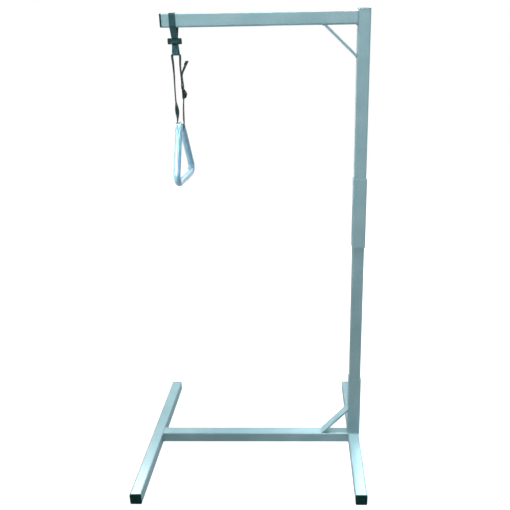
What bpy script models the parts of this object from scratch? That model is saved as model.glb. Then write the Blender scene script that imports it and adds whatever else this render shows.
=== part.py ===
"""Free-standing bed trapeze: an H-shaped base, a two-piece mast, a boom, and a strap
that carries a triangular pull handle. Metres, +Z up. The origin is the centre of the
base on the floor; the boom runs from the mast (at +X) towards -X."""

import math

import bmesh
import bpy
from mathutils import Matrix, Vector

# Square steel tube of the feet, the mast and the boom
TUBE = 0.0445
TUBE_WALL = 0.002
TUBE_CORNER = 0.005

# Larger square tube that the mast slides into, at the foot and at half height
SLEEVE = 0.0508
SLEEVE_WALL = 0.0021
SLEEVE_CORNER = 0.0055
CORNER_STEPS = 4

# Gap left between two pieces that touch
GAP = 0.0003

# Base
FOOT_LENGTH = 0.790
FOOT_SPACING = 0.861
SOCKET_LENGTH = 0.270

# Mast and boom
MAST_JOINT = 1.038
SLEEVE_LENGTH = 0.268
MAST_TOP = 1.761
BOOM_TOP = 1.754
BOOM_REACH = 0.7005
TOP_PLATE = 0.003

# Flat bars across the two corners
BRACE_WIDTH = 0.040
BRACE_THICKNESS = 0.008
BRACE_EDGE = 0.0006
BASE_BRACE_RUN = 0.116
BASE_BRACE_RISE = 0.124
BOOM_BRACE_RUN = 0.117
BOOM_BRACE_DROP = 0.109

# Push-in end caps
FOOT_CAP_FLANGE = 0.004
BOOM_CAP_FLANGE = 0.0065
CAP_EDGE = 0.0008
CAP_PLUG_DEPTH = 0.012
CAP_PLUG_WALL = 0.0025
CAP_FIN_COUNT = 3
CAP_FIN_HEIGHT = 0.0012
CAP_FIN_START = 0.003
CAP_FIN_PITCH = 0.0027
CAP_HOLLOW_START = 0.001

# M8 clamp bolts that press on the mast from behind
BOLT_RADIUS = 0.004
BOLT_HEAD_ACROSS = 0.013
BOLT_HEAD_HEIGHT = 0.0053
BOLT_SHANK = 0.015
NUT_HEIGHT = 0.0065
BOLT_HOLE_RADIUS = 0.0043
DRILL_LENGTH = 0.004
DRILL_DEPTH = 0.003
SOCKET_BOLT_HEIGHTS = (0.150, 0.270)
SLEEVE_BOLT_HEIGHTS = (1.085, 1.140)

# Webbing of the strap and of the hand loop
WEBBING = 0.0018
LAYER = WEBBING + GAP
STRAP_WIDTH = 0.023
STRAP_FROM_MAST = 0.6565
LOOP_WIDTH = 0.020

# Domed buttons that keep the strap in place on the boom
STOP_SPACING = 0.045
STOP_RADIUS = 0.0095
STOP_HEIGHT = 0.0062
STOP_SHANK_RADIUS = 0.002
STOP_SHANK_LENGTH = 0.006

# Three-bar slide on the strap
SLIDE_WIDTH = 0.050
SLIDE_THICKNESS = 0.004
SLIDE_BAR = 0.0035
SLIDE_SLOT = 0.005
SLIDE_SLOT_WIDTH = 0.0252
SLIDE_CORNER = 0.004
SLIDE_EDGE = 0.0004
SLIDE_CENTRE = 1.6645

# Lower turn of the strap, which carries the hand loop
BIGHT_BOTTOM = 1.6175
BIGHT_HALF_DEPTH = 0.0155
BIGHT_CORNER = 0.0024

# Hand loop: turned a little about the vertical
LOOP_YAW = math.radians(-8.0)
LOOP_HALF_WIDTH = 0.0145
LOOP_SHOULDER = 1.6115
LOOP_CORNER = 0.0028
STRAND_LEAD = 0.004
STRAND_GAP = 0.0011

# Triangular handle
HANDLE_TUBE = 0.0254
HANDLE_SHIFT = -0.0035
HANDLE_TOP = 1.3757
HANDLE_DROP = 0.1965
HANDLE_TOP_HALF = 0.0168
HANDLE_BASE_HALF = 0.1147
HANDLE_TOP_RADIUS = 0.0272
HANDLE_CORNER_RADIUS = 0.028
HANDLE_YAW = math.radians(-5.0)
HANDLE_TILT = math.radians(2.7)

# Sling: the stretch of webbing under the handle's top bend
SLING_EXTRA = math.radians(20.0)

# Half twist in the left strand
TWIST_TURN = math.radians(-30.0)
TWIST_CENTRE = 1.428
TWIST_REACH = 0.034

# Cam buckle, placed by its centre on the right strand
BUCKLE_CENTRE = 1.490
BUCKLE_OFFSET = 0.014
BUCKLE_YAW = math.radians(1.5)
BUCKLE_REACH_UP = 0.035
BUCKLE_REACH_DOWN = 0.028
BUCKLE_HALF_HEIGHT = 0.020
BUCKLE_SHEET = 0.0015
BUCKLE_INNER_WIDTH = 0.0226
BUCKLE_OUT = 0.0135
EAR_BULGE = 0.010
EAR_BELLY = 0.004
BUCKLE_SLOT = 0.004
BUCKLE_SLOT_HEIGHT = 0.0145
BUCKLE_SLOT_WIDTH = 0.0212
BUCKLE_PIN_PROUD = 0.0005
CAM_PIN_OUT = 0.0084
CAM_PIN_HEIGHT = 0.0005
CAM_PIN_RADIUS = 0.0018
CAM_WIDTH = 0.0165
CAM_SHIFT = -0.0022
SPRING_WIRE = 0.00035
SPRING_RADIUS = 0.0030
SPRING_TURNS = 3
SPRING_PITCH = 0.0012

# Derived places
HALF_WIDTH = (FOOT_SPACING + TUBE / 2 + SLEEVE / 2) / 2
MAST_X = HALF_WIDTH - SLEEVE / 2
LEFT_FOOT_X = TUBE / 2 - HALF_WIDTH
BOOM_BOTTOM = BOOM_TOP - TUBE
SLEEVE_BOTTOM = MAST_JOINT - SLEEVE_LENGTH / 2
STRAP_X = MAST_X - STRAP_FROM_MAST
SLIDE_HALF_HEIGHT = SLIDE_BAR * 1.5 + SLIDE_SLOT
SLIDE_Y = -(SLIDE_THICKNESS / 2 + LAYER + GAP)
STRAP_HINGE = SLIDE_CENTRE - SLIDE_HALF_HEIGHT - GAP - (LAYER + WEBBING) / 2
SLING_RADIUS = HANDLE_TUBE / 2 + GAP + WEBBING / 2
BUCKLE_PLACE = (
    STRAP_X + BUCKLE_OFFSET * math.cos(BUCKLE_YAW),
    BUCKLE_OFFSET * math.sin(BUCKLE_YAW),
    BUCKLE_CENTRE,
)
BUCKLE_FRAME = Matrix.Translation(BUCKLE_PLACE) @ Matrix.Rotation(BUCKLE_YAW, 4, "Z")
CAM_PIN_PLACE = BUCKLE_FRAME @ Vector((CAM_PIN_OUT, 0, CAM_PIN_HEIGHT))
HANDLE_PLACE = (STRAP_X + HANDLE_SHIFT, 0, HANDLE_TOP)
HANDLE_TURN = Matrix.Rotation(HANDLE_YAW, 4, "Z") @ Matrix.Rotation(HANDLE_TILT, 4, "X")
HANDLE_FRAME = Matrix.Translation(HANDLE_PLACE) @ HANDLE_TURN

# Turn that stands a piece drawn along Z along Y, pointing to the back
ALONG_Y = (-math.pi / 2, 0, 0)


def clear_scene():
    for old in list(bpy.data.objects):
        bpy.data.objects.remove(old, do_unlink=True)


def make_material(name, colour, roughness, metallic):
    material = bpy.data.materials.new(name)
    material.use_nodes = True
    shader = material.node_tree.nodes["Principled BSDF"]
    shader.inputs["Base Color"].default_value = (*colour, 1.0)
    shader.inputs["Roughness"].default_value = roughness
    shader.inputs["Metallic"].default_value = metallic
    return material


def make_body(name, place, carrier=None):
    """An empty that stands for one moving body, placed on the axis of its joint."""
    body = bpy.data.objects.new(name, None)
    body.location = place
    if carrier:
        body.parent = carrier
        body.matrix_parent_inverse = Matrix.Translation(carrier.location).inverted()
    bpy.context.scene.collection.objects.link(body)
    return body


def add_object(name, data, material, body, place=(0, 0, 0), turn=(0, 0, 0)):
    piece = bpy.data.objects.new(name, data)
    piece.location = place
    piece.rotation_euler = turn
    piece.parent = body
    piece.matrix_parent_inverse = Matrix.Translation(body.location).inverted()
    data.materials.append(material)
    bpy.context.scene.collection.objects.link(piece)
    return piece


def finish_mesh(bm, name, smooth_angle=30):
    """Point the faces outwards and shade the mesh smooth between sharp edges."""
    bmesh.ops.recalc_face_normals(bm, faces=bm.faces)
    mesh = bpy.data.meshes.new(name)
    bm.to_mesh(mesh)
    bm.free()
    mesh.shade_smooth()
    mesh.set_sharp_from_angle(angle=math.radians(smooth_angle))
    return mesh


def rounded_square(size, corner, steps=CORNER_STEPS):
    """Outline of a square with round corners, anticlockwise, around the origin."""
    points = []
    straight = size / 2 - corner
    for quarter in range(4):
        middle = Vector((straight, straight)) @ Matrix.Rotation(-quarter * math.pi / 2, 2)
        for step in range(steps + 1):
            angle = (quarter + step / steps) * math.pi / 2
            points.append(middle + corner * Vector((math.cos(angle), math.sin(angle))))
    return points


def add_outline(bm, points, height=0.0):
    """Add a closed ring of edges at one height."""
    verts = [bm.verts.new((p[0], p[1], height)) for p in points]
    return [bm.edges.new((a, b)) for a, b in zip(verts, verts[1:] + verts[:1])]


def extrude_faces(bm, faces, change):
    """Extrude a patch of faces and move the new end by a matrix. Return the new end."""
    grown = bmesh.ops.extrude_face_region(bm, geom=faces)["geom"]
    verts = [item for item in grown if isinstance(item, bmesh.types.BMVert)]
    bmesh.ops.transform(bm, matrix=change, verts=verts)
    return [item for item in grown if isinstance(item, bmesh.types.BMFace)]


def add_cutter(target, cutter_mesh, place, turn=(0, 0, 0)):
    """Cut a shape out of a piece with a Boolean whose cutter stays hidden."""
    cutter = bpy.data.objects.new(target.name + "_cutter", cutter_mesh)
    cutter.location = place
    cutter.rotation_euler = turn
    cutter.hide_render = True
    cutter.display_type = "WIRE"
    bpy.context.scene.collection.objects.link(cutter)
    cut = target.modifiers.new("cut", "BOOLEAN")
    cut.operation = "DIFFERENCE"
    cut.solver = "EXACT"
    cut.object = cutter
    return cutter


def cylinder_mesh(name, radius, depth, sides=20):
    """A closed cylinder around Z, from z = 0 up."""
    bm = bmesh.new()
    bmesh.ops.create_circle(bm, cap_ends=True, segments=sides, radius=radius)
    extrude_faces(bm, list(bm.faces), Matrix.Translation((0, 0, depth)))
    return finish_mesh(bm, name)


def square_tube(name, size, wall, corner, length, material, body, place, turn):
    """An open square tube along its own Z, from z = 0 to its length."""
    bm = bmesh.new()
    edges = add_outline(bm, rounded_square(size, corner))
    edges += add_outline(bm, rounded_square(size - 2 * wall, corner - wall))
    ring = bmesh.ops.bridge_loops(bm, edges=edges)["faces"]
    extrude_faces(bm, ring, Matrix.Translation((0, 0, length)))
    return add_object(name, finish_mesh(bm, name), material, body, place, turn)


def plate_mesh(name, outlines, y_from, y_to):
    """A plate across Y: an outline in X and Z, with any holes as further outlines."""
    bm = bmesh.new()
    edges = []
    for outline in outlines:
        verts = [bm.verts.new((x, y_from, z)) for x, z in outline]
        edges += [bm.edges.new(pair) for pair in zip(verts, verts[1:] + verts[:1])]
    faces = bmesh.ops.triangle_fill(bm, edges=edges, use_beauty=True)["geom"]
    faces = [item for item in faces if isinstance(item, bmesh.types.BMFace)]
    extrude_faces(bm, faces, Matrix.Translation((0, y_to - y_from, 0)))
    return finish_mesh(bm, name)


def circle_outline(x, z, radius, sides):
    turns = [math.tau * k / sides for k in range(sides)]
    return [(x + radius * math.cos(turn), z + radius * math.sin(turn)) for turn in turns]


def flat_bar(name, corners, material, body):
    """A flat bar, pulled along Y to its width, with its edges slightly broken."""
    mesh = plate_mesh(name, [corners], -BRACE_WIDTH / 2, BRACE_WIDTH / 2)
    bar = add_object(name, mesh, material, body)
    edge = bar.modifiers.new("edge", "BEVEL")
    edge.width = BRACE_EDGE
    edge.segments = 1
    return bar


def brace_corners(x_far, z_tube, x_mast, z_far):
    """Side outline of a bar from a level tube at (x_far, z_tube) to the mast face at
    (x_mast, z_far), measured along its outer edge, with both ends cut to seat."""
    run = x_mast - x_far
    rise = z_far - z_tube
    angle = math.atan2(abs(rise), run)
    along_tube = BRACE_THICKNESS / math.sin(angle)
    along_mast = math.copysign(BRACE_THICKNESS / math.cos(angle), rise)
    return [
        (x_far, z_tube),
        (x_far + along_tube, z_tube),
        (x_mast, z_far - along_mast),
        (x_mast, z_far),
    ]


def end_cap(name, thickness, material, body, place, turn):
    """A push-in cap: a flange that covers the tube's end, and a hollow plug with
    thin fins that grip the wall. The flange points along the cap's own +Z."""
    fin = TUBE - 2 * TUBE_WALL - 2 * GAP
    plug = fin - 2 * CAP_FIN_HEIGHT
    levels = [(TUBE - 2 * CAP_EDGE, thickness), (TUBE, thickness - CAP_EDGE), (TUBE, GAP)]
    levels.append((plug, GAP))
    for index in range(CAP_FIN_COUNT):
        root = -CAP_FIN_START - index * CAP_FIN_PITCH
        tip = root - CAP_FIN_HEIGHT
        levels += [(plug, root), (fin, tip), (plug, tip - CAP_FIN_HEIGHT)]
    hollow = plug - 2 * CAP_PLUG_WALL
    levels += [(plug, -CAP_PLUG_DEPTH), (hollow, -CAP_PLUG_DEPTH), (hollow, -CAP_HOLLOW_START)]
    bm = bmesh.new()
    outline = rounded_square(1.0, TUBE_CORNER / TUBE, steps=3)
    size, height = levels[0]
    verts = [bm.verts.new((p[0] * size, p[1] * size, height)) for p in outline]
    face = [bm.faces.new(verts)]
    for index, (next_size, next_height) in enumerate(levels[1:]):
        scale = next_size / size
        change = Matrix.Translation((0, 0, next_height)) @ Matrix.Diagonal((scale, scale, 1, 1))
        change = change @ Matrix.Translation((0, 0, -height))
        grown = extrude_faces(bm, face, change)
        if index:
            bmesh.ops.delete(bm, geom=face, context="FACES_ONLY")
        face = grown
        size, height = next_size, next_height
    return add_object(name, finish_mesh(bm, name), material, body, place, turn)


def hexagon_nut(name, y_face, z, material, body):
    """A nut along Y that stands on a rear face of the mast."""
    bm = bmesh.new()
    outer = bmesh.ops.create_circle(bm, segments=6, radius=BOLT_HEAD_ACROSS / math.sqrt(3))
    inner = bmesh.ops.create_circle(bm, segments=18, radius=BOLT_HOLE_RADIUS)
    ring = outer["verts"] + inner["verts"]
    edges = {edge for vert in ring for edge in vert.link_edges}
    faces = bmesh.ops.bridge_loops(bm, edges=list(edges))["faces"]
    extrude_faces(bm, faces, Matrix.Translation((0, 0, NUT_HEIGHT)))
    return add_object(name, finish_mesh(bm, name), material, body, (MAST_X, y_face, z), ALONG_Y)


def hexagon_bolt(name, y_tip, z, material, body):
    """A bolt along Y with its tip towards the mast and its head at the back."""
    bm = bmesh.new()
    bmesh.ops.create_circle(bm, cap_ends=True, segments=18, radius=BOLT_RADIUS)
    neck = extrude_faces(bm, list(bm.faces), Matrix.Translation((0, 0, BOLT_SHANK)))
    neck_edges = list(neck[0].edges)
    bmesh.ops.delete(bm, geom=neck, context="FACES_ONLY")
    rim = bmesh.ops.create_circle(bm, segments=6, radius=BOLT_HEAD_ACROSS / math.sqrt(3))["verts"]
    bmesh.ops.translate(bm, verts=rim, vec=(0, 0, BOLT_SHANK))
    rim_edges = list({edge for vert in rim for edge in vert.link_edges})
    bmesh.ops.triangle_fill(bm, edges=neck_edges + rim_edges, use_beauty=True)
    side = bmesh.ops.extrude_edge_only(bm, edges=rim_edges)["geom"]
    top = [item for item in side if isinstance(item, bmesh.types.BMVert)]
    bmesh.ops.translate(bm, verts=top, vec=(0, 0, BOLT_HEAD_HEIGHT))
    bmesh.ops.contextual_create(bm, geom=top)
    return add_object(name, finish_mesh(bm, name), material, body, (MAST_X, y_tip, z), ALONG_Y)


def strap_stop(name, x, material, body):
    """A domed button on the boom with a shank through its top wall."""
    profile = [Vector((0, 0, BOOM_TOP + GAP + STOP_HEIGHT))]
    dome_radius = (STOP_RADIUS**2 + STOP_HEIGHT**2) / (2 * STOP_HEIGHT)
    half_angle = math.asin(min(1.0, STOP_RADIUS / dome_radius))
    for step in range(1, 6):
        angle = half_angle * step / 5
        drop = dome_radius * (1 - math.cos(angle))
        profile.append(profile[0] + Vector((dome_radius * math.sin(angle), 0, -drop)))
    base = BOOM_TOP + GAP
    profile.append(Vector((STOP_SHANK_RADIUS, 0, base)))
    profile.append(Vector((STOP_SHANK_RADIUS, 0, base - STOP_SHANK_LENGTH)))
    profile.append(Vector((0, 0, base - STOP_SHANK_LENGTH)))
    bm = bmesh.new()
    verts = [bm.verts.new(point) for point in profile]
    edges = [bm.edges.new(pair) for pair in zip(verts, verts[1:])]
    bmesh.ops.spin(bm, geom=verts + edges, axis=(0, 0, 1), angle=math.tau, steps=20, use_merge=True)
    bmesh.ops.remove_doubles(bm, verts=bm.verts, dist=1e-6)
    return add_object(name, finish_mesh(bm, name, 40), material, body, place=(x, 0, 0))


def offset_path(points, distance):
    """Move a path in a plane to its left by a distance, with mitred corners."""
    moved = []
    for index, point in enumerate(points):
        before = points[max(index - 1, 0)]
        after = points[min(index + 1, len(points) - 1)]
        first = (point - before).normalized() if index else (after - point).normalized()
        second = (after - point).normalized() if index < len(points) - 1 else first
        mitre = Vector((-first.y - second.y, first.x + second.x)).normalized()
        moved.append(point + mitre * distance / mitre.dot(Vector((-first.y, first.x))))
    return moved


def round_corner(before, corner, after, radius, steps):
    """Points of the arc that rounds a corner of a path."""
    inward = (before - corner).normalized()
    outward = (after - corner).normalized()
    half = inward.angle(outward) / 2
    middle = corner + (inward + outward).normalized() * radius / math.sin(half)
    start = corner + inward * radius / math.tan(half) - middle
    turn = math.copysign(math.pi - 2 * half, inward.cross(outward) * -1)
    return [middle + Matrix.Rotation(turn * k / steps, 2) @ start for k in range(steps + 1)]


def smooth_path(points, steps):
    """A smooth curve through all the points, with a number of steps between two."""
    padded = [2 * points[0] - points[1], *points, 2 * points[-1] - points[-2]]
    curve = []
    for a, b, c, d in zip(padded, padded[1:], padded[2:], padded[3:]):
        for step in range(steps):
            t = step / steps
            bend = (2 * a - 5 * b + 4 * c - d) * t * t + (3 * b - a - 3 * c + d) * t * t * t
            curve.append(b + ((c - a) * t + bend) / 2)
    return curve + [points[-1]]


def webbing(name, rows, material, body, closed=False):
    """Flat webbing: rows of points across its width, joined along its length."""
    bm = bmesh.new()
    verts = [bm.verts.new(point) for point in rows[0]]
    edges = [bm.edges.new(pair) for pair in zip(verts, verts[1:])]
    for row in rows[1:] + (rows[:1] if closed else []):
        grown = bmesh.ops.extrude_edge_only(bm, edges=edges)["geom"]
        edges = [item for item in grown if isinstance(item, bmesh.types.BMEdge)]
        verts = [item for item in grown if isinstance(item, bmesh.types.BMVert)]
        for vert, point in zip(verts, row):
            vert.co = point
    if closed:
        bmesh.ops.remove_doubles(bm, verts=bm.verts, dist=1e-6)
    strip = add_object(name, finish_mesh(bm, name), material, body)
    thick = strip.modifiers.new("thickness", "SOLIDIFY")
    thick.thickness = WEBBING
    thick.offset = 0.0
    thick.use_even_offset = True
    return strip


def build_base(body, paint, black, zinc):
    """H-shaped base: two feet, the cross tube, the socket for the mast and its brace."""
    for side, x in (("left", LEFT_FOOT_X), ("right", MAST_X)):
        length = FOOT_LENGTH - 2 * FOOT_CAP_FLANGE
        place = (x, -length / 2, TUBE / 2)
        square_tube(
            side + "_foot_tube", TUBE, TUBE_WALL, TUBE_CORNER, length, paint, body, place, ALONG_Y
        )
        front = (x, -length / 2, TUBE / 2)
        back = (x, length / 2, TUBE / 2)
        end_cap(side + "_front_foot_cap", FOOT_CAP_FLANGE, black, body, front, (math.pi / 2, 0, 0))
        end_cap(side + "_back_foot_cap", FOOT_CAP_FLANGE, black, body, back, ALONG_Y)
    length = FOOT_SPACING - TUBE - 2 * GAP
    place = (LEFT_FOOT_X + TUBE / 2 + GAP, 0, TUBE / 2)
    turn = (0, math.pi / 2, 0)
    square_tube("cross_tube", TUBE, TUBE_WALL, TUBE_CORNER, length, paint, body, place, turn)
    place = (MAST_X, 0, TUBE + GAP)
    socket = square_tube(
        "mast_socket", SLEEVE, SLEEVE_WALL, SLEEVE_CORNER, SOCKET_LENGTH, paint, body, place, (0, 0, 0)
    )
    cut_bolt_holes(socket, SOCKET_BOLT_HEIGHTS)
    face = MAST_X - SLEEVE / 2 - GAP
    top = TUBE + GAP
    corners = brace_corners(face - BASE_BRACE_RUN, top, face, top + BASE_BRACE_RISE)
    flat_bar("base_brace", corners, paint, body)
    add_lock_bolts("socket", SOCKET_BOLT_HEIGHTS, paint, zinc, body)


def cut_bolt_holes(tube, heights):
    """Holes for the clamp bolts, through the rear wall only."""
    for z in heights:
        drill = cylinder_mesh(tube.name + "_drill", BOLT_HOLE_RADIUS, DRILL_LENGTH)
        add_cutter(tube, drill, (MAST_X, SLEEVE / 2 - DRILL_DEPTH, z), ALONG_Y)


def add_lock_bolts(name, heights, paint, zinc, body):
    """Clamp bolts in painted nuts, welded to the rear of the socket or the sleeve."""
    for level, z in zip(("lower", "upper"), heights):
        hexagon_nut(f"{name}_{level}_lock_nut", SLEEVE / 2 + GAP, z, paint, body)
        hexagon_bolt(f"{name}_{level}_lock_bolt", TUBE / 2 + GAP, z, zinc, body)


def build_lower_mast(body, paint, zinc):
    """Lower half of the mast, with the sleeve that joins the two halves."""
    low = TUBE + 2 * GAP
    length = MAST_JOINT - low
    square_tube(
        "lower_mast", TUBE, TUBE_WALL, TUBE_CORNER, length, paint, body, (MAST_X, 0, low), (0, 0, 0)
    )
    place = (MAST_X, 0, SLEEVE_BOTTOM)
    sleeve = square_tube(
        "mast_sleeve", SLEEVE, SLEEVE_WALL, SLEEVE_CORNER, SLEEVE_LENGTH, paint, body, place, (0, 0, 0)
    )
    cut_bolt_holes(sleeve, SLEEVE_BOLT_HEIGHTS)
    add_lock_bolts("sleeve", SLEEVE_BOLT_HEIGHTS, paint, zinc, body)


def build_upper_mast(body, paint, black, bright):
    """Upper half of the mast with the boom, its brace, its end cap and the strap stops."""
    low = MAST_JOINT + GAP
    length = MAST_TOP - TOP_PLATE - GAP - low
    place = (MAST_X, 0, low)
    square_tube("upper_mast", TUBE, TUBE_WALL, TUBE_CORNER, length, paint, body, place, (0, 0, 0))
    bm = bmesh.new()
    verts = [bm.verts.new((*point, 0)) for point in rounded_square(TUBE, TUBE_CORNER)]
    extrude_faces(bm, [bm.faces.new(verts)], Matrix.Translation((0, 0, TOP_PLATE)))
    place = (MAST_X, 0, MAST_TOP - TOP_PLATE)
    add_object("mast_top_plate", finish_mesh(bm, "mast_top_plate"), paint, body, place)

    end = MAST_X - BOOM_REACH + BOOM_CAP_FLANGE
    face = MAST_X - TUBE / 2 - GAP
    place = (end, 0, BOOM_TOP - TUBE / 2)
    turn = (0, math.pi / 2, 0)
    boom = square_tube(
        "boom_tube", TUBE, TUBE_WALL, TUBE_CORNER, face - end, paint, body, place, turn
    )
    for name, side in (("outer", -1), ("inner", 1)):
        x = STRAP_X + side * STOP_SPACING / 2
        drill = cylinder_mesh(name + "_drill", STOP_SHANK_RADIUS + GAP, DRILL_LENGTH)
        add_cutter(boom, drill, (x, 0, BOOM_TOP - DRILL_DEPTH))
        strap_stop(name + "_strap_stop", x, bright, body)
    end_cap("boom_end_cap", BOOM_CAP_FLANGE, black, body, place, (0, -math.pi / 2, 0))
    under = BOOM_BOTTOM - GAP
    corners = brace_corners(face - BOOM_BRACE_RUN, under, face, under - BOOM_BRACE_DROP)
    flat_bar("boom_brace", corners, paint, body)


def across_x(path):
    """Rows of a webbing that lies across X, from a path in Y and Z."""
    left = STRAP_X - STRAP_WIDTH / 2
    right = STRAP_X + STRAP_WIDTH / 2
    return [[(left, point.x, point.y), (right, point.x, point.y)] for point in path]


def boom_strap_path():
    """Route of the strap in Y and Z: up through the slide, round the boom and back."""
    front = SLIDE_Y - SLIDE_THICKNESS / 2 - GAP - (LAYER + WEBBING) / 2
    slot = (SLIDE_BAR + SLIDE_SLOT) / 2
    weave = [
        Vector((0, SLIDE_CENTRE - SLIDE_HALF_HEIGHT)),
        Vector((0, SLIDE_CENTRE - slot)),
        Vector((front, SLIDE_CENTRE - slot)),
        Vector((front, SLIDE_CENTRE + slot)),
        Vector((0, SLIDE_CENTRE + slot)),
        Vector((0, SLIDE_CENTRE + SLIDE_HALF_HEIGHT + GAP)),
    ]
    near = offset_path(weave, LAYER / 2)
    far = offset_path(weave, -LAYER / 2)
    radius = TUBE_CORNER + GAP + WEBBING / 2
    side = TUBE / 2 + GAP + WEBBING / 2
    centre = Vector((TUBE_CORNER - TUBE / 2, BOOM_BOTTOM + TUBE_CORNER))
    reach = centre - near[-1]
    swing = math.asin(radius / reach.length)
    run = Matrix.Rotation(swing, 2) @ reach
    low = near[-1] + run * (-side - near[-1].x) / run.x
    high = Vector((-side, BOOM_TOP + GAP + WEBBING / 2))
    wrap = round_corner(near[-1], low, high, radius, 4)
    wrap += round_corner(low, high, Vector((0, high.y)), radius, 6)
    return near + wrap + [Vector((-p.x, p.y)) for p in reversed(wrap)] + far[::-1]


def strap_slide(material, body):
    """Three-bar slide: a rounded plate with two slots, which the strap weaves through."""
    half_width = SLIDE_WIDTH / 2
    corner = SLIDE_CORNER
    rim = []
    for quarter, (sx, sz) in enumerate(((1, 1), (-1, 1), (-1, -1), (1, -1))):
        x = STRAP_X + sx * (half_width - corner)
        z = SLIDE_CENTRE + sz * (SLIDE_HALF_HEIGHT - corner)
        for step in range(5):
            angle = (quarter + step / 4) * math.pi / 2
            rim.append((x + corner * math.cos(angle), z + corner * math.sin(angle)))
    slots = []
    for side in (-1, 1):
        middle = SLIDE_CENTRE + side * (SLIDE_BAR + SLIDE_SLOT) / 2
        x = SLIDE_SLOT_WIDTH / 2
        z = SLIDE_SLOT / 2
        corners = ((1, 1), (-1, 1), (-1, -1), (1, -1))
        slots.append([(STRAP_X + a * x, middle + b * z) for a, b in corners])
    low = SLIDE_Y - SLIDE_THICKNESS / 2
    mesh = plate_mesh("strap_slide", [rim, *slots], low, low + SLIDE_THICKNESS)
    slide = add_object("strap_slide", mesh, material, body)
    edge = slide.modifiers.new("edge", "BEVEL")
    edge.width = SLIDE_EDGE
    edge.segments = 1
    edge.limit_method = "ANGLE"


def build_bight(webbing_black, body):
    """Lower turn of the strap, hanging from the slide, and the loop's turn across it."""
    top = [
        Vector((math.cos(math.pi * k / 6), math.sin(math.pi * k / 6))) * LAYER / 2
        + Vector((0, STRAP_HINGE))
        for k in range(7)
    ]
    bottom = BIGHT_BOTTOM + WEBBING / 2
    left = Vector((-BIGHT_HALF_DEPTH, bottom))
    right = Vector((BIGHT_HALF_DEPTH, bottom))
    path = top + round_corner(top[-1], left, right, BIGHT_CORNER, 4)
    path += round_corner(left, right, top[0], BIGHT_CORNER, 4)
    webbing("strap_bight", across_x(path), webbing_black, body, closed=True)

    height = BIGHT_BOTTOM + 1.5 * WEBBING + GAP + GAP
    corners = [
        Vector((-LOOP_HALF_WIDTH, LOOP_SHOULDER)),
        Vector((-LOOP_HALF_WIDTH, height)),
        Vector((LOOP_HALF_WIDTH, height)),
        Vector((LOOP_HALF_WIDTH, LOOP_SHOULDER)),
    ]
    path = [corners[0]]
    path += round_corner(corners[0], corners[1], corners[2], LOOP_CORNER, 4)
    path += round_corner(corners[1], corners[2], corners[3], LOOP_CORNER, 4)
    path.append(corners[3])
    webbing("loop_top", loop_rows(path), webbing_black, body)


def loop_turn(height):
    """Turn of the hand loop about the vertical at a height."""
    upper = BUCKLE_CENTRE + BUCKLE_REACH_UP
    lower = BUCKLE_CENTRE - BUCKLE_REACH_DOWN
    if height > upper:
        part = min(1.0, (height - upper) / (LOOP_SHOULDER - upper))
        return BUCKLE_YAW + part * (LOOP_YAW - BUCKLE_YAW)
    if height < lower:
        part = min(1.0, (lower - height) / (lower - HANDLE_TOP - 0.010))
        return BUCKLE_YAW + part * (HANDLE_YAW - BUCKLE_YAW)
    return BUCKLE_YAW


def loop_rows(path, twisted=False):
    """Rows of the hand loop's webbing, from a path in its own plane. A twisted strand
    turns further about its length around the middle of its half twist."""
    rows = []
    for point in path:
        turn = loop_turn(point.y)
        centre = Vector((STRAP_X + point.x * math.cos(turn), point.x * math.sin(turn), point.y))
        if twisted:
            part = max(0.0, 1 - abs(point.y - TWIST_CENTRE) / TWIST_REACH)
            turn += TWIST_TURN * (3 - 2 * part) * part * part
        across = Vector((-math.sin(turn), math.cos(turn), 0)) * LOOP_WIDTH / 2
        rows.append([centre - across, centre, centre + across])
    return rows


def millimetres(*points):
    return [Vector((x / 1000, z / 1000)) for x, z in points]


def shoulder(x):
    """Start of a strand: straight down below the loop's turn over the strap."""
    return [Vector((x, LOOP_SHOULDER - GAP)), Vector((x, LOOP_SHOULDER - STRAND_LEAD))]


def left_strand_path():
    """Route of the left strand: distance from the strap's middle line, and height."""
    end = SLING_EXTRA
    contact = Vector((HANDLE_SHIFT, HANDLE_TOP))
    contact += Vector((-math.cos(end), math.sin(end))) * SLING_RADIUS
    lead = Vector((math.sin(end), math.cos(end)))
    upper = millimetres((-12.9, 1590), (-12.2, 1550), (-13.1, 1505))
    lower = millimetres((-13.4, 1467), (-12.0, 1440), (-11.2, 1412))
    finish = [contact + lead * 3 * STRAND_LEAD, contact + lead * STRAND_GAP]
    return smooth_path(shoulder(-LOOP_HALF_WIDTH) + upper + lower + finish, 4)


def right_strand_path():
    """Route of the right strand: down from the shoulder, behind the buckle's top bar,
    through its slot and a little way up again, where it is sewn."""
    behind = BUCKLE_OFFSET - BUCKLE_SHEET / 2 - GAP - WEBBING / 2
    before = BUCKLE_OFFSET + BUCKLE_SHEET / 2 + GAP + WEBBING / 2
    bar_top = BUCKLE_CENTRE + BUCKLE_HALF_HEIGHT
    slot = BUCKLE_CENTRE + BUCKLE_SLOT_HEIGHT
    middle = millimetres((13.2, 1596), (12.4, 1575), (12.9, 1550), (13.0, 1530))
    bar = [Vector((behind, bar_top + STRAND_LEAD))]
    sewn = Vector((before, bar_top + 1.5 * STRAND_LEAD))
    run = smooth_path(shoulder(LOOP_HALF_WIDTH) + middle + bar, 4)
    return run + [Vector((behind, slot)), Vector((before, slot)), sewn]


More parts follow.
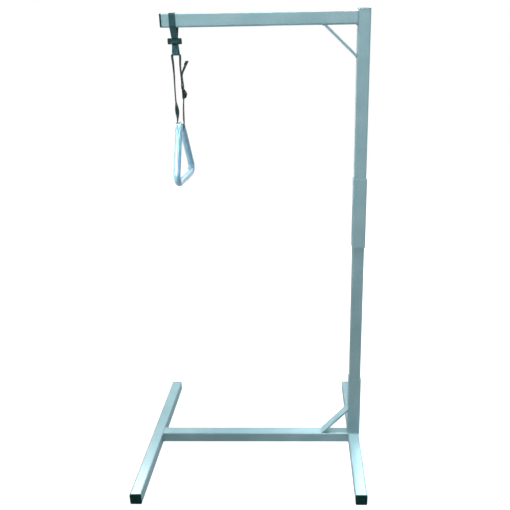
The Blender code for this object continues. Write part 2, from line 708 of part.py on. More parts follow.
def tail_path():
    """Route of the free end: out of the buckle, up beside the right strand, then off."""
    inner = BUCKLE_OFFSET + BUCKLE_SHEET / 2 + GAP + WEBBING / 2
    outer = inner + LAYER
    start = [
        Vector((inner, BUCKLE_CENTRE)),
        Vector((inner, BUCKLE_CENTRE + 0.3 * BUCKLE_HALF_HEIGHT)),
        Vector((outer, BUCKLE_CENTRE + 0.575 * BUCKLE_HALF_HEIGHT)),
        Vector((outer, BUCKLE_CENTRE + 1.4 * BUCKLE_HALF_HEIGHT)),
    ]
    beside = millimetres((15.9, 1538), (15.6, 1550), (18.2, 1560))
    away = millimetres((22.5, 1568), (30.5, 1583), (38.3, 1596))
    return start[:3] + smooth_path(start[3:] + beside + away, 4)


def lower_strand_path():
    """Route of the lower right strand, from the sling up into the buckle."""
    inner = BUCKLE_OFFSET + BUCKLE_SHEET / 2 + GAP + WEBBING / 2
    x = HANDLE_SHIFT + SLING_RADIUS
    start = [Vector((x, HANDLE_TOP + STRAND_GAP)), Vector((x, HANDLE_TOP + 2 * STRAND_LEAD))]
    middle = millimetres((10.8, 1398), (12.2, 1430), (14.2, 1456))
    finish = Vector((inner, BUCKLE_CENTRE - BUCKLE_HALF_HEIGHT))
    return smooth_path(start + middle + [finish], 4) + [Vector((inner, BUCKLE_CENTRE - GAP))]


def sling_rows():
    """Rows of the sling, which hugs the inside of the handle's top bend."""
    rows = []
    steps = 14
    sweep = math.pi + SLING_EXTRA
    for step in range(steps + 1):
        angle = -sweep * step / steps
        reach = HANDLE_TOP_RADIUS + SLING_RADIUS * math.sin(angle)
        half = math.asin(LOOP_WIDTH / 2 / max(reach, HANDLE_TOP_RADIUS))
        row = []
        for place in (-1, -0.5, 0, 0.5, 1):
            turn = half * place
            height = reach * math.cos(turn) - HANDLE_TOP_RADIUS
            row.append(Vector((SLING_RADIUS * math.cos(angle), reach * math.sin(turn), height)))
        rows.append([HANDLE_FRAME @ point for point in row])
    return rows


def buckle_frame(steel, body):
    """Cam buckle's frame: a base plate with a webbing slot, and a D-shaped ear on
    each side, cut from one folded shape."""
    half = BUCKLE_HALF_HEIGHT
    inside = -BUCKLE_SHEET / 2
    outline = [(inside, -half)]
    for step in range(9):
        angle = math.radians(-90 + 150 * step / 8)
        rise = half - EAR_BELLY if angle < 0 else half - 2 * EAR_BELLY
        across = BUCKLE_OUT - EAR_BULGE + EAR_BULGE * math.cos(angle)
        outline.append((across, -EAR_BELLY + rise * math.sin(angle)))
    outline += [(0.0048, 0.0130), (-inside, half), (inside, half)]
    hole = circle_outline(CAM_PIN_OUT, CAM_PIN_HEIGHT, CAM_PIN_RADIUS + GAP, 16)
    width = BUCKLE_INNER_WIDTH + 2 * BUCKLE_SHEET
    mesh = plate_mesh("buckle_frame", [outline, hole], -width / 2, width / 2)
    frame = add_object("buckle_frame", mesh, steel, body, BUCKLE_PLACE, (0, 0, BUCKLE_YAW))
    half_inner = BUCKLE_INNER_WIDTH / 2
    pocket = [(-inside, -2 * half), (half, -2 * half), (half, 2 * half), (-inside, 2 * half)]
    pocket_mesh = plate_mesh("buckle_pocket", [pocket], -half_inner, half_inner)
    add_cutter(frame, pocket_mesh, BUCKLE_PLACE, (0, 0, BUCKLE_YAW))
    low = BUCKLE_SLOT_HEIGHT - BUCKLE_SLOT / 2
    high = BUCKLE_SLOT_HEIGHT + BUCKLE_SLOT / 2
    reach = 2 * BUCKLE_SHEET
    slot = [(-reach, low), (reach, low), (reach, high), (-reach, high)]
    slot_mesh = plate_mesh("buckle_slot", [slot], -BUCKLE_SLOT_WIDTH / 2, BUCKLE_SLOT_WIDTH / 2)
    add_cutter(frame, slot_mesh, BUCKLE_PLACE, (0, 0, BUCKLE_YAW))


def build_buckle(steel, body, cam_body):
    """Cam buckle: frame, pin, torsion spring and the cam with its thumb lever."""
    buckle_frame(steel, body)
    width = BUCKLE_INNER_WIDTH + 2 * (BUCKLE_SHEET + BUCKLE_PIN_PROUD)
    pin = cylinder_mesh("buckle_pin", CAM_PIN_RADIUS, width, 16)
    place = BUCKLE_FRAME @ Vector((CAM_PIN_OUT, -width / 2, CAM_PIN_HEIGHT))
    add_object("buckle_pin", pin, steel, body, place, (-math.pi / 2, 0, BUCKLE_YAW))

    nose = [(-4.7, -0.4), (-5.1, 0.8), (-5.0, 2.2), (-3.6, 3.9), (0, 4.3), (3.2, 4.4)]
    lever = [(5.2, 3.0), (6.5, -1.0), (6.9, -6.0), (5.7, -12.0), (3.0, -17.6)]
    back = [(1.7, -17.2), (4.1, -11.6), (5.0, -6.0), (4.4, -2.6)]
    hub = [(1.6, -3.8), (-1.6, -3.7), (-3.7, -1.8)]
    outline = [tuple(point) for point in millimetres(*nose, *lever, *back, *hub)]
    bore = circle_outline(0, 0, CAM_PIN_RADIUS + GAP, 16)
    low = CAM_SHIFT - CAM_WIDTH / 2
    mesh = plate_mesh("buckle_cam", [outline, bore], low, low + CAM_WIDTH)
    add_object("buckle_cam", mesh, steel, cam_body, CAM_PIN_PLACE, (0, 0, BUCKLE_YAW))

    steps = 10
    points = []
    for step in range(SPRING_TURNS * steps + 1):
        angle = math.tau * step / steps
        y = low + CAM_WIDTH + 2 * SPRING_WIRE + SPRING_PITCH * step / steps
        points.append((SPRING_RADIUS * math.cos(angle), y, SPRING_RADIUS * math.sin(angle)))
    spring = tube_curve("buckle_spring", points, SPRING_WIRE, 1, False)
    add_object("buckle_spring", spring, steel, body, CAM_PIN_PLACE, (0, 0, BUCKLE_YAW))


def tube_curve(name, points, radius, resolution, closed):
    """A round tube along points, as a curve with a bevel."""
    curve = bpy.data.curves.new(name, "CURVE")
    curve.dimensions = "3D"
    curve.bevel_depth = radius
    curve.bevel_resolution = resolution
    curve.use_fill_caps = not closed
    spline = curve.splines.new("POLY")
    spline.points.add(len(points) - 1)
    for point, place in zip(spline.points, points):
        point.co = (*place, 1.0)
    spline.use_cyclic_u = closed
    spline.use_smooth = True
    return curve


def build_handle(metal, body):
    """Closed triangle of bent tube, with one wide bend at the top and two below."""
    corners = [
        (-HANDLE_TOP_HALF, 0),
        (HANDLE_TOP_HALF, 0),
        (HANDLE_BASE_HALF, -HANDLE_DROP),
        (-HANDLE_BASE_HALF, -HANDLE_DROP),
    ]
    corners = [Vector(corner) for corner in corners]
    radii = (HANDLE_TOP_RADIUS, HANDLE_TOP_RADIUS, HANDLE_CORNER_RADIUS, HANDLE_CORNER_RADIUS)
    path = []
    for index, corner in enumerate(corners):
        before = corners[index - 1]
        after = corners[(index + 1) % 4]
        bend = round_corner(before, corner, after, radii[index], 8)
        path += bend if index > 1 else bend[index:]
    points = [(0, point.x, point.y) for point in path]
    tube = tube_curve("handle_tube", points, HANDLE_TUBE / 2, 6, True)
    turn = (HANDLE_TILT, 0, HANDLE_YAW)
    add_object("handle_tube", tube, metal, body, HANDLE_PLACE, turn)


def main():
    clear_scene()
    paint = make_material("frame_paint", (0.36, 0.50, 0.54), 0.35, 0.3)
    black = make_material("cap_plastic", (0.02, 0.02, 0.022), 0.5, 0.0)
    zinc = make_material("zinc_steel", (0.55, 0.56, 0.58), 0.35, 1.0)
    strap_black = make_material("webbing_black", (0.02, 0.035, 0.04), 0.9, 0.0)
    buckle_black = make_material("buckle_black", (0.02, 0.02, 0.02), 0.4, 0.5)
    bright = make_material("handle_finish", (0.55, 0.68, 0.75), 0.25, 0.6)

    base = make_body("base_body", (0, 0, 0))
    lower_mast = make_body("lower_mast_body", (MAST_X, 0, TUBE), base)
    upper_mast = make_body("upper_mast_body", (MAST_X, 0, MAST_JOINT), lower_mast)
    bight = make_body("bight_body", (STRAP_X, 0, STRAP_HINGE), upper_mast)
    loop = make_body("loop_body", (STRAP_X, 0, LOOP_SHOULDER), bight)
    cam = make_body("cam_body", CAM_PIN_PLACE, loop)
    sling = make_body("sling_body", HANDLE_PLACE, loop)
    handle = make_body("handle_body", HANDLE_PLACE, sling)

    build_base(base, paint, black, zinc)
    build_lower_mast(lower_mast, paint, zinc)
    build_upper_mast(upper_mast, paint, black, bright)
    webbing("boom_strap", across_x(boom_strap_path()), strap_black, upper_mast)
    strap_slide(buckle_black, upper_mast)
    build_bight(strap_black, bight)
    webbing("loop_left_strand", loop_rows(left_strand_path(), twisted=True), strap_black, loop)
    webbing("loop_right_strand", loop_rows(right_strand_path()), strap_black, loop)
    webbing("loop_tail", loop_rows(tail_path()), strap_black, loop)
    build_buckle(buckle_black, loop, cam)
    webbing("loop_lower_strand", loop_rows(lower_strand_path()), strap_black, sling)
    webbing("handle_sling", sling_rows(), strap_black, sling)
    build_handle(bright, handle)


main()
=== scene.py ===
# %% [markdown]
# A free-standing bed trapeze, dressed for a picture. The imported CAD model is loaded as a
# fixed frame: it says where each tube, bolt and strap is, and which body carries it. Most
# pieces made here ride on one of those bodies, so the same model can be posed later.

# %% Load the frame
import math

import bmesh
import bpy
from mathutils import Matrix, Vector


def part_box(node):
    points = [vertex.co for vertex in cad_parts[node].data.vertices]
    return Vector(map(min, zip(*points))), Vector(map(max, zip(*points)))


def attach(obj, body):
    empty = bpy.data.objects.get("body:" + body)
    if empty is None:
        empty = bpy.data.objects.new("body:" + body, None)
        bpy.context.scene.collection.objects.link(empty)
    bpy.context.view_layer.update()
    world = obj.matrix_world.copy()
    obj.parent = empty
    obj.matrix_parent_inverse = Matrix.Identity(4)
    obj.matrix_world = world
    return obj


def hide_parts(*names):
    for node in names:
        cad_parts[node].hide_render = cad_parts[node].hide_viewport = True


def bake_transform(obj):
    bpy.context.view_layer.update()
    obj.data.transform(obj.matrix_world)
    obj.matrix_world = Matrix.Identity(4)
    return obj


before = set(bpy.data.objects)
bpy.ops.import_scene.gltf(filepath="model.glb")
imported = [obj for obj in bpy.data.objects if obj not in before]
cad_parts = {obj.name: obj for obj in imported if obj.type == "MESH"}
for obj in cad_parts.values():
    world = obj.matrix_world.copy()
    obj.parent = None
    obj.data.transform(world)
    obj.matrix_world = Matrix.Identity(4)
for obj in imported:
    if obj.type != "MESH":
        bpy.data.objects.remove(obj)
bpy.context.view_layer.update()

# %% [markdown]
# A colour is easiest to read off a photograph as three numbers from 0 to 255, but a shader
# wants linear light. One short helper turns the first into the second, so that every finish
# below can be written with the numbers that a painter would note down.


# %% Colours
def colour(red, green, blue):
    """A screen colour, 0 to 255, as the linear colour that a shader wants."""
    linear = []
    for part in (red, green, blue):
        part /= 255
        linear.append(part / 12.92 if part <= 0.04045 else ((part + 0.055) / 1.055) ** 2.4)
    return (*linear, 1.0)


# %% [markdown]
# A finish is a small network of nodes. Written by hand, each node takes four or five lines,
# and the sums get lost among them. Here one class wraps a node's output socket and lets
# Python's own + - * / add the Math nodes, so a pattern reads like a formula. A second class
# holds the tree and adds any other node in one call, and a third one is a whole material.


# %% A socket that can be used in sums
class Signal:
    """The output of a node, which adds Math nodes when it is used in a sum."""

    def __init__(self, nodes, socket):
        self.nodes = nodes
        self.socket = socket

    def math(self, operation, *others):
        return self.nodes.add("Math", dict(enumerate((self, *others))), operation=operation)

    def __add__(self, other):
        return self.math("ADD", other)

    __radd__ = __add__

    def __mul__(self, other):
        return self.math("MULTIPLY", other)

    __rmul__ = __mul__

    def __sub__(self, other):
        return self.math("SUBTRACT", other)

    def __truediv__(self, other):
        return self.math("DIVIDE", other)

    def between(self, low, high, least=0.0):
        """The least value below low, 1 above high and a soft step in between."""
        inputs = {"Value": self, "From Min": low, "From Max": high, "To Min": least}
        return self.nodes.add("MapRange", inputs, interpolation_type="SMOOTHSTEP")


# %% A tree of nodes
class Nodes:
    """The node tree of a material or a world, to which nodes are added one call at a time."""

    def __init__(self, owner):
        owner.use_nodes = True
        self.tree = owner.node_tree

    def add(self, kind, inputs=None, output=0, **settings):
        """Add a node: its settings first, then values or links for its sockets."""
        node = self.tree.nodes.new("ShaderNode" + kind)
        for name, value in settings.items():
            setattr(node, name, value)
        for name, value in (inputs or {}).items():
            self.feed(node.inputs[name], value)
        return Signal(self, node.outputs[output])

    def feed(self, socket, value):
        if isinstance(value, Signal):
            self.tree.links.new(value.socket, socket)
        else:
            socket.default_value = value

    def place(self):
        """The point on the piece, in metres."""
        return self.add("TexCoord", output="Object")

    def axes(self, point):
        """The x, y and z of a point, as three signals."""
        outputs = self.add("SeparateXYZ", {"Vector": point}).socket.node.outputs
        return [Signal(self, outputs[axis]) for axis in "XYZ"]

    def stretch(self, point, scale):
        """The same point, with each axis scaled."""
        return self.add("Mapping", {"Vector": point, "Scale": scale})

    def noise(self, point, scale, detail=2.0, rough=0.5):
        """Cloudy noise from 0 to 1, with about so many clouds to a metre."""
        inputs = {"Vector": point, "Scale": scale, "Detail": detail, "Roughness": rough}
        return self.add("TexNoise", inputs)

    def mix(self, factor, first, second):
        """A colour between two colours."""
        return self.add("Mix", {0: factor, 6: first, 7: second}, output=2, data_type="RGBA")

    def relief(self, height, depth):
        """A normal that is bent by a height from 0 to 1, as deep as depth in metres."""
        return self.add("Bump", {"Height": height, "Distance": depth})


# %% A finish
class Finish(Nodes):
    """A material for one slot, with its Principled shader, which the other nodes feed."""

    def __init__(self, name, slot, **constants):
        self.slot = slot
        self.material = bpy.data.materials.new(name)
        super().__init__(self.material)
        self.shader = self.tree.nodes["Principled BSDF"]
        self.drive(**constants)

    def drive(self, **sockets):
        """Set sockets of the shader to values, or link signals to them."""
        for socket, value in sockets.items():
            self.feed(self.shader.inputs[socket.replace("_", " ")], value)


# %% [markdown]
# The frame is sprayed with a silvery blue powder paint. Powder paint flows out into a skin
# with a faint orange peel, a dimple every millimetre or two, and it never gets quite even:
# the colour drifts a little along a tube. A mast that slides in a sleeve also picks up long
# fine scratches. All of this is noise at three sizes, read from the place on the piece. The
# gloss is a thin clear coat with a strong but light-handed mirror: a tube seen nearly along
# its surface, or right under a lamp, goes white, and one seen square on keeps its colour.

# %% Frame paint
def frame_paint(name, scratches):
    """Silvery blue powder paint. Scratches run along the tube's upright length."""
    paint = Finish(
        name,
        "frame_paint",
        Metallic=0.06,
        Specular_IOR_Level=0.0,
        Coat_Weight=0.15,
        Coat_IOR=2.0,
        Coat_Roughness=0.2,
    )
    point = paint.place()
    drift = paint.noise(point, 9, 3)
    grain = paint.noise(point, 160, 4, 0.6)
    peel = paint.noise(point, 700, 1)
    tone = (drift * 0.65 + grain * 0.35).between(0.3, 0.7)
    tint = paint.mix(tone, colour(139, 176, 185), colour(156, 191, 198))
    dust = paint.noise(point, 45, 5, 0.7).between(0.62, 0.8)
    tint = paint.mix(dust * 0.25, tint, colour(120, 150, 158))
    rough = 0.36 + grain * 0.1 + dust * 0.12
    height = peel * 0.8 + grain * 0.2
    if scratches:
        streak = paint.noise(paint.stretch(point, (1, 1, 0.03)), 900, 2, 0.7)
        patch = paint.noise(point, 22, 2).between(0.5, 0.62)
        line = streak.between(0.66, 0.72) * patch * scratches
        tint = paint.mix(line, tint, colour(196, 214, 218))
        rough = rough - line * 0.1
        height = height - line * 0.6
    paint.drive(Base_Color=tint, Roughness=rough, Normal=paint.relief(height, 0.00007))
    return paint


tube_paint = frame_paint("silver_blue_paint", 0)
mast_paint = frame_paint("silver_blue_paint_scratched", 0.5)

# %% [markdown]
# The tube ends are closed with black moulded plastic. Moulded plastic has a fine spark
# texture from its mould, and the faces that stand on the floor or get kicked turn dull and
# greyish in patches.

# %% Cap plastic
moulded = Finish("black_cap_plastic", "black_plastic", Specular_IOR_Level=0.03)
point = moulded.place()
spark = moulded.noise(point, 1400, 2, 0.6)
scuff = moulded.noise(point, 70, 5, 0.7).between(0.5, 0.75)
moulded.drive(
    Base_Color=moulded.mix(scuff, colour(12, 60, 59), colour(32, 80, 78)),
    Roughness=0.42 + scuff * 0.25,
    Normal=moulded.relief(spark, 0.00005),
)

# %% [markdown]
# The bolts are zinc plated: a pale grey metal, clouded in small crystals of slightly
# different shine. The buttons on the boom are the same kind of finish, polished brighter.
# One function with a few numbers makes both. The dark lacquered steel of the slide and the
# buckle comes from it too, with the metal turned off, because the lacquer hides the steel.


# %% Metals
def plated_metal(name, slot, dark, light, rough, crystals, metallic=1.0):
    """A plated or lacquered metal, clouded in small crystals."""
    shine = 0.5 if metallic else 0.15
    metal = Finish(name, slot, Metallic=metallic, Specular_IOR_Level=shine)
    point = metal.place()
    cell = metal.axes(metal.add("TexVoronoi", {"Vector": point, "Scale": crystals}, "Color"))[0]
    cloud = metal.noise(point, 60, 4, 0.6)
    wear = metal.noise(point, 240, 5, 0.7).between(0.55, 0.75)
    tone = cell * 0.4 + cloud * 0.6
    metal.drive(
        Base_Color=metal.mix(tone.between(0.2, 0.8), colour(*dark), colour(*light)),
        Roughness=rough + cell * 0.08 + wear * 0.12,
        Normal=metal.relief(cloud * 0.4 + wear * 0.6, 0.00004),
    )
    return metal


zinc = plated_metal("zinc_plate", "zinc_steel", (150, 156, 162), (196, 202, 206), 0.28, 900)
bright_zinc = plated_metal(
    "bright_button", "bright_metal", (196, 208, 212), (232, 240, 242), 0.2, 500
)
lacquer = plated_metal(
    "black_lacquered_steel", "black_steel", (17, 52, 51), (33, 76, 73), 0.42, 1200, 0.0
)
buckle_black = plated_metal(
    "black_buckle_steel", "black_steel", (7, 22, 20), (18, 42, 38), 0.36, 1200, 0.0
)

# %% [markdown]
# The hand grip is bent from tube and painted brighter and bluer than the frame, in a clear
# glossy enamel. The round tube gives it away: its upper side and its rims mirror the white
# surroundings, and the middle of the tube stays blue. So it is a plain blue paint under a
# full clear coat, with the fine streaks of a rubbed-down finish squeezed along the tube.

# %% Grip finish
polished = Finish(
    "grip_tube_finish",
    "handle_metal",
    Metallic=0.05,
    Specular_IOR_Level=0.1,
    Coat_Weight=1.0,
    Coat_Roughness=0.26,
)
point = polished.place()
brushed = polished.noise(polished.stretch(point, (1, 0.25, 0.25)), 1500, 3, 0.6)
cloud = polished.noise(point, 35, 3)
mark = polished.noise(point, 180, 5, 0.75).between(0.6, 0.72)
tint = polished.mix(cloud.between(0.3, 0.7), colour(114, 162, 184), colour(130, 176, 198))
polished.drive(
    Base_Color=polished.mix(mark * 0.4, tint, colour(92, 128, 148)),
    Roughness=0.34 + brushed * 0.06 + mark * 0.12,
    Normal=polished.relief(brushed, 0.00002),
)

# %% [markdown]
# Webbing is a narrow cloth. Fat warp threads run along it and thin weft threads cross
# them, so its face is a row of ribs that dip and rise every millimetre or so, in step with
# the ribs beside them. The pattern is drawn on the strap's own UV map, which is in metres
# across and along the strap: however the strap turns, the ribs follow it. The colour is
# painted lighter on the crests, a painted highlight, and darker in the dips, a painted shade.


# %% Webbing
def woven(name, dark, light, rib, pick):
    """Woven webbing: ribs of one width, crossed by picks of one length, in metres."""
    sheen = {"Sheen_Weight": 0.12, "Sheen_Roughness": 0.5}
    cloth = Finish(name, "webbing", Specular_IOR_Level=0.1, **sheen)
    across, along = cloth.axes(cloth.add("UVMap"))[:2]
    ribs = across / rib
    step = ribs.math("FLOOR").math("MODULO", 2)
    rise = (along / pick + step * 0.5) * math.tau
    crest = (ribs * math.pi).math("SINE").math("ABSOLUTE")
    height = crest * (0.65 + rise.math("SINE") * 0.35)
    fuzz = cloth.noise(cloth.place(), 2600, 2, 0.7)
    cloud = cloth.noise(cloth.place(), 80, 3)
    # The tone is a painted highlight on the rib crests and painted shade in the dips, with random
    # fuzz and cloud on top.
    tone = height * 0.7 + fuzz * 0.2 + cloud * 0.25
    cloth.drive(
        Base_Color=cloth.mix(tone.between(0.15, 0.95), colour(*dark), colour(*light)),
        Roughness=0.72 + fuzz * 0.2,
        Normal=cloth.relief(height * 0.85 + fuzz * 0.15, 0.00028),
    )
    return cloth


strap_cloth = woven("strap_webbing", (34, 67, 73), (70, 110, 115), 0.00165, 0.0022)
loop_cloth = woven("loop_webbing", (42, 59, 62), (75, 94, 99), 0.0014, 0.0019)

# %% [markdown]
# Every piece ends the same way: its mesh is turned into an object, shaded smooth but for
# its real edges, given a finish, tied to its body if it has one, and the CAD pieces that it
# stands for are hidden. That is worth one function, used by all the steps that follow.
# Smooth shading alone makes a flat face look bulged next to a rounded edge, and a bulged
# face mirrors the lamps in the wrong place, so a Weighted Normal modifier lets each flat
# face keep its own direction.


# %% Finishing a piece
def corners(node):
    """The lowest and the highest corner of a CAD piece."""
    return [Vector(corner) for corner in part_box(node)]


def new_object(name, data):
    """A new object in the scene."""
    piece = bpy.data.objects.new(name, data)
    bpy.context.scene.collection.objects.link(piece)
    return piece


def as_object(bm, name, material):
    """A new object from a mesh that was being edited."""
    mesh = bpy.data.meshes.new(name)
    bm.to_mesh(mesh)
    bm.free()
    mesh.materials.append(material)
    return new_object(name, mesh)


def shade(mesh, angle):
    """Smooth shading, but for edges that turn more than an angle."""
    mesh.shade_smooth()
    mesh.set_sharp_from_angle(angle=math.radians(angle))


def publish(bm, name, finish, body, stands_for=(), smooth=40, place=Matrix()):
    """Put a mesh in its place, make a piece of it and let it ride on a body."""
    bmesh.ops.recalc_face_normals(bm, faces=bm.faces)
    bmesh.ops.transform(bm, matrix=place, verts=bm.verts)
    piece = as_object(bm, name, finish.material)
    shade(piece.data, smooth)
    piece.modifiers.new("flat_faces", "WEIGHTED_NORMAL").keep_sharp = True
    if body:
        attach(piece, body)
    if stands_for:
        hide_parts(*stands_for)
    return piece


# %% [markdown]
# A few small helpers do most of the modelling. One extrudes faces, one extrudes edges, one
# pulls an outline to a slab, and one rounds every edge that turns sharply, because on a
# real object no edge is a perfect corner.


# %% Helpers for meshes
def only(kind, items):
    """The items of one kind: BMVert, BMEdge or BMFace."""
    return [item for item in items if isinstance(item, getattr(bmesh.types, kind))]


def extruded(bm, faces, way):
    """Extrude faces, move the new end some way, and return its faces."""
    grown = bmesh.ops.extrude_face_region(bm, geom=faces)["geom"]
    bmesh.ops.translate(bm, verts=only("BMVert", grown), vec=way)
    return only("BMFace", grown)


def grown_ring(bm, edges):
    """Extrude edges in place, and return the new edges and vertices."""
    grown = bmesh.ops.extrude_edge_only(bm, edges=edges)["geom"]
    return only("BMEdge", grown), only("BMVert", grown)


def circle(bm, sides, radius):
    """The edges and vertices of a new circle around the origin."""
    verts = bmesh.ops.create_circle(bm, segments=sides, radius=radius)["verts"]
    return list({edge for vert in verts for edge in vert.link_edges}), verts


def slab(bm, outline, y_from, y_to):
    """Pull an outline in X and Z through from one Y to another."""
    face = bm.faces.new([bm.verts.new((x, y_from, z)) for x, z in outline])
    extruded(bm, [face], (0, y_to - y_from, 0))


def bevelled(bm, items, width, segments, affect="EDGES"):
    """Round edges or vertices."""
    bmesh.ops.bevel(
        bm, geom=items, offset=width, segments=segments, profile=0.5, affect=affect, material=-1
    )


def soften(bm, width, segments=2, angle=50):
    """Turn all faces outward and round every edge that turns more than an angle."""
    bmesh.ops.recalc_face_normals(bm, faces=bm.faces)
    edges = [edge for edge in bm.edges if edge.calc_face_angle(0) > math.radians(angle)]
    bevelled(bm, edges, width, segments)


# %% [markdown]
# The frame is welded from square steel tube. A square tube has round corners, a wall, and
# at each cut end a ring of bare thickness whose edges are broken by a file. It starts as
# one square face: its corners are rounded by a vertex bevel, an inset makes the wall, and
# the ring that is left is pulled out to the tube's length.


# %% Square tubes
def rounded_face(bm, size, corner):
    """A square face with round corners, around the origin."""
    verts = bmesh.ops.create_grid(bm, x_segments=1, y_segments=1, size=size / 2)["verts"]
    bevelled(bm, verts, corner, 6, "VERTICES")
    bm.faces.ensure_lookup_table()
    return bm.faces[-1]


def square_tube(name, node, size, wall, corner, turn, finish, body):
    """A square tube with the CAD tube's place, size and length."""
    low, high = corners(node)
    length = max(high - low)
    bm = bmesh.new()
    face = rounded_face(bm, size, corner)
    ring = bmesh.ops.inset_region(
        bm, faces=[face], thickness=wall, use_even_offset=True, use_boundary=True
    )["faces"]
    bmesh.ops.delete(bm, geom=[face], context="FACES_ONLY")
    extruded(bm, ring, (0, 0, length))
    soften(bm, 0.0004)
    place = Matrix.Translation((low + high) / 2) @ turn @ Matrix.Translation((0, 0, -length / 2))
    publish(bm, name, finish, body, [node], place=place)


TUBE = (0.0445, 0.002, 0.005)
SLEEVE = (0.0508, 0.0021, 0.0055)
TUBE_SIZE, _, TUBE_CORNER = TUBE
ALONG_X = Matrix.Rotation(math.pi / 2, 4, "Y")
ALONG_Y = Matrix.Rotation(-math.pi / 2, 4, "X")
UPRIGHT = Matrix.Identity(4)
square_tube("left_foot", "left_foot_tube", *TUBE, ALONG_Y, tube_paint, "base")
square_tube("right_foot", "right_foot_tube", *TUBE, ALONG_Y, tube_paint, "base")
square_tube("base_cross_tube", "cross_tube", *TUBE, ALONG_X, tube_paint, "base")
square_tube("base_socket", "mast_socket", *SLEEVE, UPRIGHT, tube_paint, "base")
square_tube("mast_lower_half", "lower_mast", *TUBE, UPRIGHT, mast_paint, "lower_mast")
square_tube("mast_joint_sleeve", "mast_sleeve", *SLEEVE, UPRIGHT, tube_paint, "lower_mast")
square_tube("mast_upper_half", "upper_mast", *TUBE, UPRIGHT, mast_paint, "upper_mast")
square_tube("boom", "boom_tube", *TUBE, ALONG_X, tube_paint, "upper_mast")

# %% [markdown]
# A small plate closes the top of the mast, and two flat bars brace the corners. The plate
# is the same rounded square, pulled up by its thickness. Each bar is a four-sided outline
# seen from the front, pulled through to the bar's width, with all its edges broken.

# %% Top plate and braces
BAR = 0.008
low, high = corners("mast_top_plate")
bm = bmesh.new()
extruded(bm, [rounded_face(bm, TUBE_SIZE, TUBE_CORNER)], (0, 0, high.z - low.z))
soften(bm, 0.0006)
place = Matrix.Translation(((low.x + high.x) / 2, 0, low.z))
publish(bm, "mast_cap_plate", tube_paint, "upper_mast", ["mast_top_plate"], 40, place)


def brace(name, node, rising, body):
    """A flat bar from a level tube to the mast, cut to seat on both."""
    low, high = corners(node)
    angle = math.atan2(high.z - low.z, high.x - low.x)
    seat, toe = BAR / math.sin(angle), BAR / math.cos(angle)
    level, far, inward = (low.z, high.z, -toe) if rising else (high.z, low.z, toe)
    outline = [(low.x, level), (low.x + seat, level), (high.x, far + inward), (high.x, far)]
    bm = bmesh.new()
    slab(bm, outline, low.y, high.y)
    soften(bm, 0.0007, angle=20)
    publish(bm, name, tube_paint, body, [node])
    return outline


base_bar = brace("base_corner_bar", "base_brace", True, "base")
boom_bar = brace("boom_corner_bar", "boom_brace", False, "upper_mast")

# %% [markdown]
# Where two steel parts meet, a welder runs a bead round the joint: a soft rope of metal
# with a ripple every couple of millimetres. It is easy to leave out, but it is what makes
# two tubes look joined. Here it is a small circle, carried along the joint line and made
# a little fatter and thinner as it goes. Under the base it is ground flush, so that the
# frame lies flat: there the line is lifted until the circle stays above the floor.


# %% Weld beads
def resampled(points, step, closed):
    """Points at equal steps along a path."""
    loop = list(points) + ([points[0]] if closed else [])
    lengths = [(b - a).length for a, b in zip(loop, loop[1:])]
    count = max(3, round(sum(lengths) / step))
    spaced = []
    for index in range(count + (not closed)):
        left = sum(lengths) * index / count
        part = 0
        while part < len(lengths) - 1 and left > lengths[part]:
            left -= lengths[part]
            part += 1
        spaced.append(loop[part].lerp(loop[part + 1], min(1, left / lengths[part])))
    return spaced


def swept(bm, path, radii, sides, closed=False):
    """Carry a circle along a path; its radius may change on the way."""
    count = len(path)
    edges, ring = circle(bm, sides, 1)
    first = edges
    up = None
    for index, point in enumerate(path):
        before = path[index - 1] if closed or index else point
        after = path[(index + 1) % count] if closed or index < count - 1 else point
        ahead = (after - before).normalized()
        up = up or ahead.orthogonal()
        up = (up - ahead * up.dot(ahead)).normalized()
        side = ahead.cross(up)
        if index:
            edges, ring = grown_ring(bm, edges)
        for place, vert in enumerate(ring):
            turn = math.tau * place / sides
            vert.co = point + (up * math.cos(turn) + side * math.sin(turn)) * radii[index]
    if closed:
        bmesh.ops.bridge_loops(bm, edges=first + edges)
    else:
        bmesh.ops.holes_fill(bm, edges=[edge for edge in bm.edges if edge.is_boundary])


def joint_line(size, corner, change):
    """The outline of a square tube, moved by a matrix."""
    bm = bmesh.new()
    points = [change @ vert.co for vert in rounded_face(bm, size, corner).verts]
    bm.free()
    return points


def weld(name, points, radius, body, closed=True, ripple=0.0021, finish=tube_paint):
    """A weld bead along a joint line."""
    path = resampled(points, ripple / 4, closed)
    radii = [radius * (0.93 + 0.09 * math.cos(index * math.pi / 2)) for index in range(len(path))]
    if not closed:
        for index in range(4):
            for end in (index, -1 - index):
                radii[end] *= 0.55 + 0.15 * index
    bm = bmesh.new()
    swept(bm, path, radii, 8, closed)
    publish(bm, name, finish, body, smooth=60)


TUBE_BEAD, SOCKET_BEAD, BOOM_BEAD, PLATE_BEAD, BAR_BEAD = 0.0028, 0.0027, 0.0026, 0.0008, 0.0019
GROUND_FLUSH = 0.0029
BAR_WELD_HALF = 0.0165
INSET = 0.001
cross_low, cross_high = corners("cross_tube")
boom_low, boom_high = corners("boom_tube")
mast_low, mast_high = corners("upper_mast")
mast_x = (mast_low.x + mast_high.x) / 2
for side, x in (("left", cross_low.x), ("right", cross_high.x)):
    change = Matrix.Translation((x, 0, TUBE_SIZE / 2)) @ ALONG_X
    outline = joint_line(TUBE_SIZE - INSET, TUBE_CORNER, change)
    for point in outline:
        point.z = max(point.z, GROUND_FLUSH)
    weld(f"cross_tube_weld_{side}", outline, TUBE_BEAD, "base")
narrow = Matrix.Diagonal((TUBE_SIZE / SLEEVE[0], 1, 1, 1))
change = Matrix.Translation((mast_x, 0, TUBE_SIZE)) @ narrow
weld("socket_weld", joint_line(SLEEVE[0], SLEEVE[2], change), SOCKET_BEAD, "base")
change = Matrix.Translation((boom_high.x, 0, (boom_low.z + boom_high.z) / 2)) @ ALONG_X
outline = joint_line(TUBE_SIZE - INSET, TUBE_CORNER, change)
weld("boom_weld", outline, BOOM_BEAD, "upper_mast")
change = Matrix.Translation((mast_x, 0, mast_high.z))
